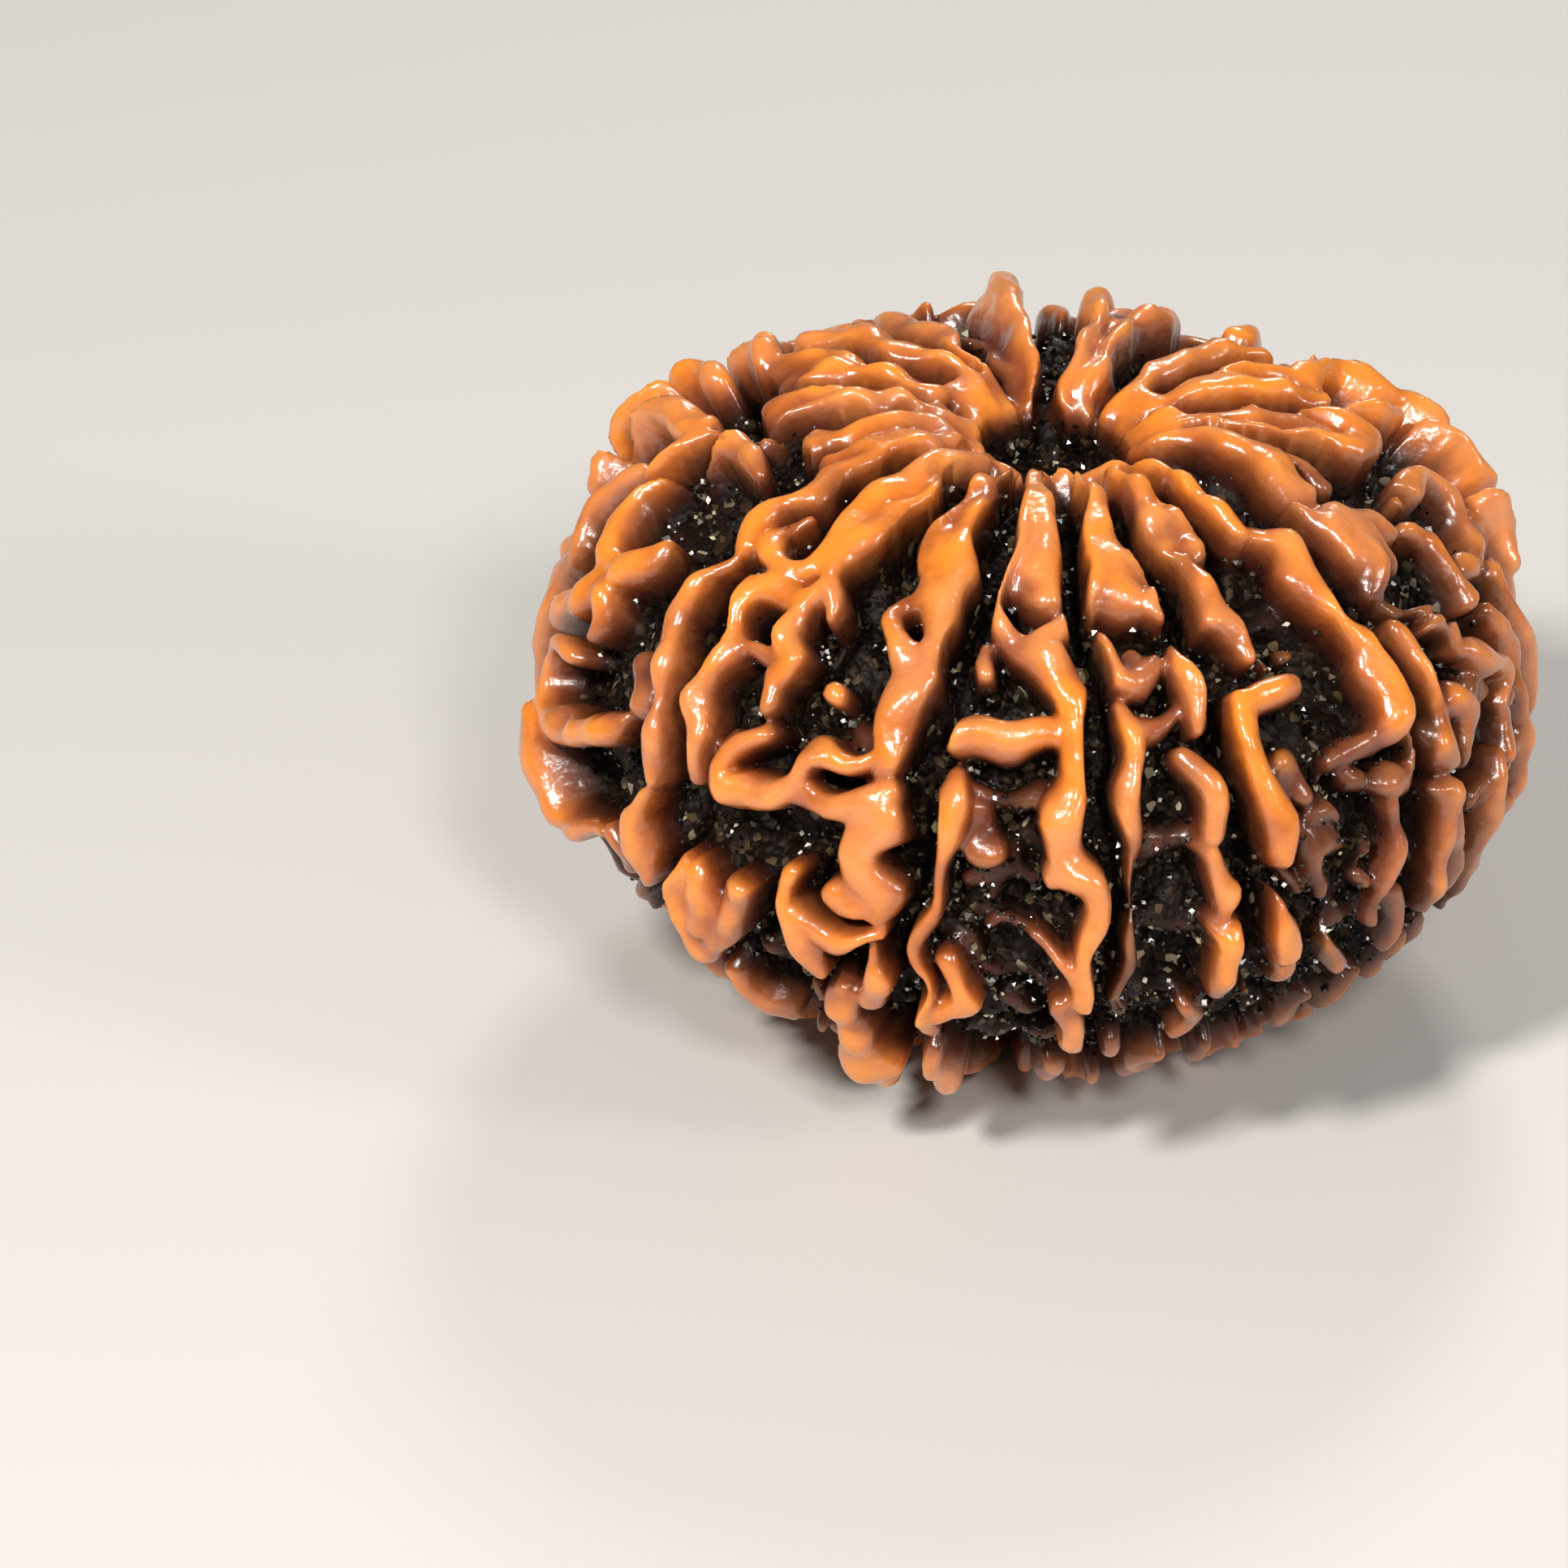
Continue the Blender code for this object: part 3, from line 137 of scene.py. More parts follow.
# Front and top ridges, face by face: points of longitude, latitude, half width in mm and
# height as a share of the relief
FACE_A_B = [
    [(-8.5, 73, 0.35, 0.86), (-8.5, 66, 0.45, 0.88), (-7.5, 61, 0.45, 0.86)],
    [(-6, 87, 0.3, 0.95), (-5, 76, 0.62, 1.0), (-5, 68, 0.9, 1.0), (-4.5, 63, 0.95, 0.98),
     (-4, 60.5, 0.8, 0.94)],
    [(-10, 87, 0.28, 1.0), (-11, 72, 0.38, 1.05), (-11, 62, 0.39, 1.05), (-10, 56, 0.34, 0.95),
     (-6, 51, 0.5, 0.95), (-1, 48, 0.52, 1.0), (2, 44, 0.48, 1.05), (2, 35, 0.47, 1.05),
     (2, 29, 0.52, 1.0), (1, 24, 0.6, 1.05), (1, 18, 0.69, 1.05), (4, 12, 0.56, 1.05),
     (5, 4, 0.52, 1.05), (5, -3, 0.56, 1.05), (5, -8, 0.43, 1.0)],
    [(1, 56, 0.34, 1.0), (-1, 53, 0.43, 1.0), (-5, 51, 0.34, 0.95)],
    [(-1, 14, 0.34, 0.95), (1, 17, 0.52, 1.0)],
    [(4, -4, 0.43, 0.95), (1, -2, 0.39, 0.9), (-1, 1, 0.3, 0.8)],
    [(2, -9, 0.3, 0.9), (3, -13, 0.45, 0.98), (4, -18, 0.5, 1.0), (4, -22, 0.42, 0.95)],
    [(-13, 35, 0.58, 1.0), (-8, 36, 0.6, 0.92), (-4, 37, 0.6, 0.95), (1, 37, 0.5, 1.0)],
    [(-11, 26, 0.52, 0.6), (-6, 26, 0.52, 0.55), (-2, 26, 0.43, 0.7)],
    [(-12, 51, 0.26, 0.85), (-12, 46, 0.3, 0.9)],
    [(-13, 29, 0.34, 0.9), (-13, 24, 0.43, 1.0), (-12, 18, 0.47, 1.0), (-13, 13, 0.36, 0.92),
     (-13.5, 6, 0.3, 0.88), (-14, 0, 0.34, 0.92), (-14.5, -5, 0.4, 0.98), (-15, -10, 0.45, 1.0),
     (-14, -16, 0.42, 1.0), (-13, -20, 0.35, 0.9)],
    [(-9, 22, 0.52, 0.75), (-9, 16, 0.52, 0.8)],
    [(-11, -5, 0.35, 0.85), (-10, -10, 0.55, 0.93), (-11.5, -15, 0.5, 0.95)],
    [(-7, 2, 0.3, 0.5), (-5, 4, 0.3, 0.52), (-2, 1, 0.3, 0.6)],
    [(-6, 18, 0.3, 0.45), (-6, 8, 0.3, 0.42)],
    [(-13, 1, 0.3, 0.45), (-9, -3, 0.4, 0.5), (-5, -8, 0.4, 0.46), (0, -10, 0.3, 0.45)],
    [(-5, -17, 0.5, 0.48), (-1, -19, 0.5, 0.5)],
    [(-10, 10, 0.35, 0.5), (-7, 12, 0.4, 0.5), (-2, 10, 0.3, 0.45)],
    [(-9, -28, 0.4, 0.5), (-3, -31, 0.4, 0.45), (2, -28, 0.4, 0.5)],
    [(3, -36, 0.42, 0.85), (2, -46, 0.42, 0.88)],
    [(1, -58, 0.42, 0.95), (0, -66, 0.42, 1.0), (-2, -78, 0.36, 1.0)],
    [(-14, -27, 0.4, 0.95), (-14, -33, 0.5, 1.16), (-13, -40, 0.45, 1.18)],
    [(-13, -50, 0.42, 0.95), (-12, -60, 0.42, 1.0), (-10, -80, 0.36, 1.0)],
]
FACE_B_C = [
    [(9, 87, 0.28, 0.95), (10, 75, 0.57, 1.0), (11, 67, 0.76, 1.0), (12, 61, 0.86, 0.96)],
    [(7, 87, 0.28, 1.0), (7, 70, 0.38, 1.05), (7, 62, 0.34, 1.0), (7, 56, 0.26, 0.8),
     (7, 51, 0.34, 0.95), (8, 46, 0.39, 1.0), (12, 46, 0.43, 0.88), (15, 49, 0.39, 0.85)],
    [(14, 67, 0.38, 1.0), (16, 62, 0.43, 1.05), (16, 58, 0.39, 0.95)],
    [(11, 49, 0.52, 0.78), (12, 48, 0.52, 0.78)],
    [(18, 52, 0.26, 0.9), (18, 48, 0.43, 1.05), (19, 42, 0.47, 1.05), (19, 36, 0.3, 0.95)],
    [(8, 40, 0.48, 0.9), (8.3, 34, 0.56, 0.95), (8.5, 28, 0.48, 0.95), (8, 21, 0.42, 0.9),
     (8.5, 12, 0.36, 0.74), (9, 4, 0.34, 0.68), (9, -6, 0.34, 0.66), (9.5, -16, 0.36, 0.66)],
    [(9, 38, 0.5, 0.85), (12, 39, 0.48, 0.8), (17, 42, 0.38, 0.75)],
    [(16, 33, 0.39, 0.9), (18, 29, 0.47, 1.0), (19, 23, 0.43, 1.0), (19, 19, 0.39, 0.95)],
    [(17, 17, 0.22, 0.75), (19, 15, 0.3, 0.95), (20, 11, 0.42, 1.0), (20, 7, 0.3, 0.9)],
    [(18.5, 5, 0.3, 0.85), (20.5, 2, 0.45, 1.0), (21, -3, 0.48, 1.02), (20.5, -9, 0.36, 0.9)],
    [(18, -14, 0.35, 0.75), (19, -19, 0.45, 0.82), (18, -24, 0.4, 0.8)],
    [(9, 20, 0.55, 0.55), (13, 18, 0.7, 0.5), (17, 19, 0.5, 0.55)],
    [(10, 4, 0.4, 0.4), (14, 1, 0.45, 0.35), (19, 2, 0.4, 0.4)],
    [(10, -16, 0.45, 0.45), (15, -14, 0.5, 0.4), (20, -16, 0.4, 0.5)],
    [(10, -26, 0.4, 0.75), (10, -36, 0.4, 0.8)],
    [(10, -46, 0.38, 0.9), (11, -58, 0.4, 0.98), (11, -74, 0.36, 1.0)],
    [(17, -36, 0.4, 0.85), (17, -46, 0.4, 0.88)],
    [(16, -58, 0.4, 0.95), (16, -68, 0.38, 1.0), (15, -78, 0.34, 1.0)],
]
FACE_C_D = [
    [(24, 87, 0.38, 0.95), (25, 75, 0.57, 1.0), (25, 70, 0.57, 1.0), (24, 67, 0.43, 0.9)],
    [(31, 87, 0.33, 0.9), (31, 76, 0.47, 0.95), (31, 70, 0.47, 0.92), (30, 66, 0.38, 0.85)],
    [(26, 65, 0.34, 0.95), (26, 60, 0.52, 1.0), (26, 54, 0.6, 1.0), (28, 48, 0.43, 0.95)],
    [(32, 50, 0.26, 0.6), (33, 46, 0.3, 0.65)],
    [(37, 49, 0.26, 0.6), (37, 46, 0.3, 0.65)],
    [(34, 41, 0.43, 0.9), (30, 41, 0.52, 0.98), (26, 41, 0.56, 1.0), (25, 35, 0.52, 1.05),
     (26, 28, 0.52, 1.05), (27, 21, 0.52, 1.05), (27, 13, 0.43, 1.0)],
    [(30, 28, 0.52, 0.75), (32, 23, 0.52, 0.75)],
    [(26, 4, 0.38, 0.88), (28, 1, 0.66, 1.02), (27.5, -4, 0.58, 1.0)],
    [(28, -7, 0.38, 0.85), (29, -11, 0.45, 0.88)],
    [(24, 11, 0.21, 0.6), (28, 10, 0.26, 0.65), (31, 5, 0.3, 0.65)],
    [(33, 18, 0.52, 0.65), (36, 18, 0.52, 0.65), (38, 15, 0.43, 0.6)],
    [(32, 14, 0.45, 0.7), (33, 8, 0.45, 0.68), (34, 2, 0.45, 0.66)],
    [(40, 87, 0.38, 0.9), (42, 75, 0.57, 1.0), (42, 69, 0.57, 0.98)],
    [(46, 67, 0.36, 0.9), (47, 63, 0.45, 1.0), (45, 57, 0.82, 1.0), (46, 52, 0.68, 1.0),
     (48, 47, 0.48, 0.97), (49, 43, 0.48, 0.97), (49, 38, 0.66, 1.0), (49, 33, 0.72, 1.03),
     (47, 29, 0.58, 0.98)],
    [(50, 28, 0.34, 0.85), (50, 22, 0.43, 0.82), (48, 18, 0.47, 0.78), (45, 20, 0.52, 0.75)],
    [(46, 28, 0.43, 0.8), (41, 27, 0.43, 0.7), (37, 26, 0.39, 0.65)],
    [(45, 15, 0.36, 0.74), (45, 8, 0.45, 0.8), (44, 2, 0.42, 0.76), (42, -5, 0.36, 0.72)],
    [(38, 6, 0.34, 0.6), (41, 2, 0.43, 0.65)],
    [(34, -4, 0.38, 0.68), (36, -8, 0.5, 0.8), (37, -13, 0.45, 0.82)],
    [(46, -3, 0.36, 0.75), (47, -8, 0.5, 0.8), (46, -13, 0.4, 0.78)],
    [(30, -25, 0.35, 0.5), (34, -24, 0.35, 0.5)],
    [(25, -15, 0.38, 0.78), (24, -20, 0.4, 0.8)],
    [(26, -34, 0.4, 0.8), (27, -44, 0.4, 0.85)],
    [(27, -56, 0.4, 0.95), (27, -70, 0.36, 1.0)],
    [(37, -24, 0.38, 0.7), (37, -32, 0.4, 0.75)],
    [(37, -46, 0.4, 0.88), (38, -58, 0.4, 0.98), (38, -72, 0.36, 1.0)],
    [(45, -22, 0.4, 0.72), (44, -32, 0.4, 0.75)],
    [(44, -46, 0.4, 0.88), (43, -60, 0.38, 1.0), (43, -72, 0.36, 1.0)],
    [(30, 16, 0.5, 0.62), (35, 12, 0.6, 0.62), (40, 10, 0.5, 0.6)],
    [(36, 22, 0.5, 0.6), (42, 22, 0.5, 0.62)],
    [(33, -2, 0.5, 0.5), (38, -4, 0.5, 0.5), (43, -3, 0.5, 0.52)],
]
FACE_D_F = [
    [(78, 87, 0.33, 0.95), (75, 78, 0.52, 1.0), (70, 71, 0.71, 1.0), (67, 67, 0.62, 0.95)],
    [(60, 66, 0.38, 0.95), (61, 61, 0.56, 1.0), (62, 56, 0.69, 1.0), (61, 51, 0.6, 0.95),
     (58, 48, 0.43, 0.88)],
    [(65, 61, 0.52, 0.95), (71, 58, 0.52, 0.96), (74, 53, 0.43, 0.9)],
    [(58, 46, 0.26, 0.75), (64, 43, 0.26, 0.75), (68, 39, 0.3, 0.8)],
    [(56, 42, 0.34, 0.88), (57, 38, 0.34, 0.9), (56, 32, 0.34, 0.9), (57, 26, 0.43, 0.9),
     (56, 17, 0.43, 0.85)],
    [(59, 38, 0.3, 0.85), (63, 39, 0.34, 0.88), (67, 36, 0.34, 0.86), (67, 31, 0.34, 0.8)],
    [(61, 27, 0.52, 0.85), (62, 22, 0.69, 0.9), (60, 17, 0.47, 0.8)],
    [(54, 13, 0.43, 0.88), (54, 7, 0.43, 0.88), (54, 2, 0.43, 0.88), (52, -3, 0.55, 0.88),
     (52, -9, 0.4, 0.8)],
    [(57, 8, 0.35, 0.8), (58, 0, 0.39, 0.8), (57, -7, 0.38, 0.74)],
    [(82, 76, 0.38, 0.85), (81, 70, 0.47, 0.85), (78, 66, 0.38, 0.8)],
    [(77, 51, 0.52, 0.85), (80, 47, 0.47, 0.85), (78, 41, 0.43, 0.88), (76, 35, 0.43, 0.88)],
    [(69, 30, 0.52, 0.9), (73, 26, 0.6, 0.95), (75, 20, 0.52, 0.92), (72, 16, 0.43, 0.9)],
    [(73, 13, 0.39, 0.92), (71, 8, 0.43, 0.92)],
    [(67, 9, 0.39, 0.9), (66, 2, 0.43, 0.92), (64, -4, 0.43, 0.88), (65, -12, 0.4, 0.75),
     (66, -20, 0.4, 0.7)],
    [(80, 30, 0.43, 0.9), (82, 22, 0.43, 0.92), (80, 12, 0.43, 0.95), (80, 0, 0.43, 0.92),
     (79, -8, 0.4, 0.8)],
    [(72, -2, 0.39, 0.85), (76, -6, 0.39, 0.85)],
    [(84, 54, 0.34, 0.85), (90, 52, 0.43, 0.95), (97, 48, 0.43, 1.0), (99, 42, 0.43, 0.95),
     (96, 36, 0.43, 0.92), (88, 34, 0.43, 0.9), (82, 37, 0.39, 0.88)],
    [(52, -18, 0.4, 0.68), (52, -28, 0.4, 0.7)],
    [(52, -42, 0.4, 0.85), (51, -56, 0.4, 0.98), (51, -72, 0.36, 1.0)],
    [(57, -18, 0.4, 0.65), (57, -28, 0.4, 0.7)],
    [(67, -34, 0.4, 0.8), (68, -46, 0.4, 0.92), (68, -62, 0.38, 1.0), (68, -74, 0.36, 1.0)],
    [(78, -18, 0.4, 0.72), (77, -28, 0.4, 0.75)],
    [(77, -42, 0.4, 0.88), (76, -58, 0.4, 1.0), (76, -72, 0.36, 1.0)],
    [(64, 62, 0.65, 0.95), (66, 57, 0.85, 0.96), (66, 52, 0.65, 0.9)],
    [(55, 24, 0.6, 0.7), (60, 24, 0.6, 0.72)],
    [(66, 24, 0.6, 0.74), (70, 22, 0.6, 0.76)],
    [(56, 6, 0.5, 0.7), (60, 5, 0.5, 0.7), (66, 5, 0.5, 0.74)],
    [(68, -2, 0.5, 0.72), (73, 2, 0.5, 0.76), (79, 4, 0.5, 0.78)],
    [(76, 14, 0.6, 0.78), (80, 16, 0.6, 0.8)],
    [(53, -6, 0.5, 0.7), (57, -8, 0.5, 0.68)],
]
FACE_Z_A = [
    [(-24, 87, 0.38, 0.9), (-25, 78, 0.4, 0.88), (-21, 71, 0.55, 0.98), (-20, 65, 0.62, 1.0),
     (-20, 60, 0.65, 1.0), (-19, 54, 0.47, 1.0), (-18.5, 49, 0.5, 1.0), (-20, 44, 0.72, 1.0),
     (-21, 38, 0.88, 1.05), (-21.5, 33, 0.8, 1.05), (-21, 28, 0.66, 1.0)],
    [(-29, 87, 0.28, 0.9), (-29, 74, 0.38, 0.95), (-28, 66, 0.38, 0.92), (-26, 61, 0.34, 0.92),
     (-21, 59, 0.34, 0.95)],
    [(-22, 58, 0.34, 0.95), (-26, 56, 0.3, 0.85), (-26, 52, 0.43, 0.95), (-24, 48, 0.47, 0.98),
     (-21, 45, 0.52, 1.0)],
    [(-30, 38, 0.47, 0.95), (-30, 37, 0.47, 0.95)],
    [(-37, 29, 0.39, 0.95), (-40, 25, 0.47, 1.0), (-42, 20, 0.56, 1.0), (-40, 16, 0.65, 1.0),
     (-36, 17, 0.65, 1.0), (-32, 21, 0.52, 1.0), (-31, 25, 0.43, 1.0), (-28, 28, 0.43, 1.0),
     (-24, 29, 0.39, 0.98)],
    [(-31, 20, 0.43, 0.95), (-27, 19, 0.43, 0.95), (-23, 21, 0.52, 1.0), (-20, 23, 0.52, 1.0)],
    [(-21, 18, 0.99, 1.05), (-22, 13, 0.99, 1.05), (-20, 7, 0.77, 1.0), (-20, 2, 0.6, 0.95)],
    [(-24, 5, 0.52, 0.95), (-22, 3, 0.52, 0.95)],
    [(-30, 6, 0.39, 0.95), (-31, 0, 0.43, 1.0), (-29, -6, 0.52, 1.0), (-26, -10, 0.39, 0.95)],
    [(-29, -2, 0.43, 0.95), (-23, -3, 0.43, 1.0), (-18, -1, 0.34, 0.95)],
    [(-19.5, -5, 0.38, 0.95), (-19, -10, 0.42, 1.0), (-20, -15, 0.4, 0.92)],
    [(-23, -14, 0.4, 0.9), (-24, -20, 0.68, 1.0), (-24, -28, 0.7, 1.05), (-23, -36, 0.66, 1.28),
     (-23, -43, 0.45, 1.2)],
    [(-31, -18, 0.35, 0.6), (-30, -24, 0.4, 0.65)],
    [(-36, 87, 0.47, 0.95), (-37, 73, 0.57, 0.95), (-39, 66, 0.62, 0.97), (-41, 59, 0.43, 0.97),
     (-39, 54, 0.43, 1.0), (-36, 49, 0.3, 0.97)],
    [(-48, 87, 0.47, 0.95), (-46, 74, 0.85, 1.0), (-46, 67, 0.95, 1.0), (-45, 61, 0.6, 1.0),
     (-44, 56, 0.43, 1.0), (-47, 53, 0.47, 1.0), (-51, 53, 0.43, 1.0), (-55, 57, 0.34, 0.9),
     (-55, 62, 0.3, 0.85)],
    [(-40, 53, 0.43, 1.0), (-42, 50, 0.43, 1.0), (-46, 50, 0.52, 1.0), (-50, 48, 0.52, 1.0),
     (-51, 43, 0.52, 1.0), (-49, 38, 0.65, 1.0), (-48, 33, 0.6, 1.0), (-48, 28, 0.52, 1.0),
     (-47, 23, 0.43, 1.0), (-45, 16, 0.3, 0.92)],
    [(-42, 50, 0.39, 1.0), (-41, 45, 0.43, 1.0), (-38, 41, 0.52, 1.0), (-40, 37, 0.39, 1.0),
     (-39, 34, 0.34, 1.0)],
    [(-46, 39, 0.39, 0.9), (-42, 40, 0.39, 0.88)],
    [(-43, 25, 0.3, 0.7), (-44, 22, 0.3, 0.75)],
    [(-45, 2, 0.39, 0.95), (-47, -6, 0.47, 1.0), (-46, -14, 0.52, 1.0), (-42, -16, 0.56, 1.0),
     (-39, -9, 0.65, 1.0), (-37, 0, 0.52, 0.95)],
    [(-43, 2, 0.45, 0.9), (-43.5, -4, 0.75, 0.98), (-43, -10, 0.7, 0.98)],
    [(-42, -22, 0.35, 0.85), (-39, -28, 0.48, 0.92), (-37, -33, 0.4, 0.88)],
    [(-25, 68, 0.5, 0.92), (-24, 62, 0.6, 0.94), (-23, 58, 0.5, 0.94)],
    [(-36, -44, 0.42, 0.88), (-35, -52, 0.42, 0.9)],
    [(-34, -60, 0.4, 0.95), (-33, -72, 0.36, 1.0)],
    [(-22, -56, 0.45, 0.95), (-21, -66, 0.42, 1.0), (-20, -78, 0.35, 1.0)],
    [(-29, -40, 0.4, 0.8), (-28, -50, 0.4, 0.85)],
    [(-27, -62, 0.42, 0.95), (-26, -74, 0.38, 1.0)],
]
FACE_N_Z = [
    [(-56, 51, 0.34, 0.95), (-59, 45, 0.52, 1.0), (-60, 39, 0.52, 1.0), (-58, 34, 0.47, 1.0),
     (-55, 28, 0.47, 1.0), (-54, 22, 0.47, 1.0), (-53, 16, 0.52, 1.0), (-51, 11, 0.39, 0.97)],
    [(-61, 27, 0.6, 0.78), (-59, 22, 0.6, 0.82)],
    [(-52, 8, 0.4, 0.95), (-53, 3, 0.56, 1.0), (-53, -3, 0.6, 1.0), (-52, -8, 0.47, 0.95)],
    [(-58, -2, 0.43, 0.95), (-57, -7, 0.47, 0.9)],
    [(-58, 53, 0.52, 1.0), (-60, 57, 0.56, 1.0), (-61, 62, 0.52, 0.98), (-60, 67, 0.52, 0.95),
     (-61, 73, 0.47, 0.92), (-63, 82, 0.33, 0.95)],
    [(-69, 87, 0.38, 0.95), (-69, 77, 0.62, 0.95), (-68, 71, 0.52, 0.9)],
    [(-79, 87, 0.38, 0.95), (-79, 77, 0.71, 0.97), (-79, 71, 0.66, 0.95), (-76, 68, 0.47, 0.88)],
    [(-76, 62, 0.45, 0.9), (-83, 61, 0.6, 1.0), (-90, 57, 0.68, 1.05), (-92, 50, 0.72, 1.1),
     (-89, 42, 0.62, 1.05), (-84, 36, 0.62, 1.0), (-78, 33, 0.6, 1.0), (-74, 37, 0.52, 0.97),
     (-71, 42, 0.45, 0.95)],
    [(-78, 30, 0.55, 1.0), (-82, 23, 0.58, 1.0), (-87, 15, 0.5, 1.0)],
    [(-76, 29, 0.4, 0.95), (-73.5, 24, 0.34, 0.9)],
    [(-76, 17, 0.34, 0.95), (-81, 14, 0.43, 1.0), (-83, 8, 0.52, 1.0), (-81, 2, 0.52, 1.0),
     (-75, 3, 0.6, 1.0), (-68, 8, 0.65, 1.0), (-62, 13, 0.6, 0.97), (-60, 17, 0.34, 0.9)],
    [(-82, -1, 0.47, 1.2), (-79.5, -7, 0.56, 1.28), (-74, -11, 0.47, 1.1), (-67, -10, 0.39, 0.95),
     (-62, -7, 0.34, 0.9)],
    [(-70, -16, 0.4, 0.66), (-70, -26, 0.4, 0.68)],
    [(-80, -15, 0.42, 0.74), (-81, -26, 0.42, 0.75)],
    [(-98, 87, 0.35, 0.95), (-97, 77, 0.55, 0.97), (-95, 70, 0.6, 0.95), (-89, 65, 0.5, 0.88)],
    [(-97, 55, 0.62, 1.05), (-103, 49, 0.8, 1.3), (-107, 42, 0.85, 1.48), (-108, 35, 0.72, 1.45),
     (-104, 29, 0.52, 1.15)],
    [(-94, 44, 0.43, 1.0), (-96, 36, 0.52, 1.05), (-94, 28, 0.52, 1.0), (-91, 20, 0.43, 0.95)],
    [(-92, 12, 0.43, 0.95), (-94, 4, 0.47, 0.95), (-92, -6, 0.47, 0.9)],
    [(-52, -18, 0.42, 0.72), (-51, -27, 0.42, 0.75)],
    [(-51, -40, 0.4, 0.85), (-50, -52, 0.4, 0.95), (-50, -70, 0.38, 1.0)],
    [(-59, -14, 0.4, 0.65), (-60, -24, 0.4, 0.68)],
    [(-60, -38, 0.4, 0.85), (-59, -50, 0.4, 0.95), (-59, -70, 0.36, 1.0)],
    [(-69, -40, 0.4, 0.85), (-69, -54, 0.4, 0.95), (-68, -72, 0.36, 1.0)],
    [(-80, -40, 0.4, 0.88), (-79, -54, 0.4, 0.95), (-78, -72, 0.36, 1.0)],
    [(-91, -16, 0.42, 0.78), (-90, -28, 0.42, 0.8)],
    [(-90, -42, 0.4, 0.9), (-88, -56, 0.4, 0.97), (-88, -72, 0.36, 1.0)],
]
TOP_BACK = [
    [(96, 87, 0.4, 0.9), (97, 77, 0.8, 0.86), (98, 70, 1.1, 0.84), (96, 65, 1.0, 0.88)],
    [(104, 61, 0.65, 1.05), (109, 56, 0.72, 1.15), (111, 50, 0.6, 1.2)],
    [(116, 87, 0.4, 0.95), (116, 76, 0.65, 1.0), (114, 68, 0.65, 1.0), (111, 64, 0.5, 0.95)],
    [(122, 61, 0.55, 1.08), (125, 55, 0.75, 1.3), (121, 48, 0.7, 1.36), (117, 41, 0.62, 1.45)],
    [(109, 44, 0.55, 1.38), (109, 36, 0.66, 1.5), (105, 29, 0.6, 1.45), (102, 22, 0.5, 1.2)],
    [(137, 87, 0.35, 0.95), (136, 76, 0.6, 1.0), (131, 68, 0.6, 1.0), (127, 64, 0.45, 0.95)],
    [(143, 60, 0.75, 1.12), (143, 54, 0.75, 1.14)],
    [(168, 87, 0.3, 1.0), (168, 75, 0.4, 1.12), (169, 66, 0.5, 1.17), (169, 56, 0.5, 1.15)],
    [(156, 87, 0.3, 0.95), (157, 74, 0.4, 1.02), (157, 66, 0.45, 1.08), (156, 57, 0.5, 1.03)],
    [(-175, 87, 0.35, 0.95), (-172, 76, 0.5, 1.1), (-171, 68, 0.6, 1.24), (-171, 58, 0.55, 1.3)],
    [(-162, 87, 0.3, 0.6), (-162, 72, 0.4, 0.6), (-161, 60, 0.4, 0.5)],
    [(-148, 87, 0.4, 0.9), (-149, 75, 0.7, 0.92), (-148, 66, 0.75, 0.92), (-149, 58, 0.6, 0.9)],
    [(-133, 87, 0.4, 0.95), (-133, 75, 0.65, 1.0), (-132, 66, 0.7, 1.05), (-131, 60, 0.7, 1.05)],
    [(-114, 87, 0.35, 0.95), (-115, 76, 0.5, 0.97), (-112, 69, 0.55, 0.97),
     (-106, 66, 0.4, 0.92)],
    [(-121, 57, 0.65, 1.2), (-126, 52, 0.65, 1.26)],
    [(-113, 52, 0.6, 1.28), (-116, 45, 0.65, 1.36)],
    [(101, 87, 0.25, 0.95), (105, 77, 0.4, 1.0), (106, 70, 0.5, 1.02), (103, 64, 0.6, 1.05),
     (98, 60, 0.75, 1.05), (93, 62, 0.6, 1.0)],
    [(91, 86, 0.25, 0.95), (89, 77, 0.4, 0.97), (89, 70, 0.45, 0.97), (91, 64, 0.5, 1.0)],
    [(125, 86, 0.3, 0.95), (125, 76, 0.45, 1.0), (122, 67, 0.5, 1.0), (118, 62, 0.45, 0.95)],
    [(162, 86, 0.5, 0.8), (162, 75, 0.8, 0.88), (162, 64, 1.1, 0.92), (162, 56, 1.1, 0.95)],
    [(-174, 86, 0.4, 0.8), (-171, 76, 0.65, 0.95), (-170, 66, 0.8, 1.0), (-170, 56, 0.75, 1.02)],
    [(-141, 85, 0.5, 0.85), (-141, 74, 1.1, 0.88), (-140, 64, 1.2, 0.9), (-138, 58, 1.0, 0.95)],
    [(-124, 87, 0.3, 0.93), (-124, 76, 0.5, 0.97), (-122, 67, 0.55, 1.0), (-119, 61, 0.5, 1.0)],
    [(-120, 85, 0.6, 0.85), (-120, 75, 1.4, 0.88), (-117, 66, 1.5, 0.9)],
    [(-106, 86, 0.3, 0.93), (-106, 76, 0.45, 0.97), (-103, 69, 0.5, 0.97), (-97, 65, 0.45, 0.92)],
    [(-100, 85, 0.6, 0.86), (-100, 76, 1.3, 0.88), (-97, 68, 1.3, 0.88)],
]

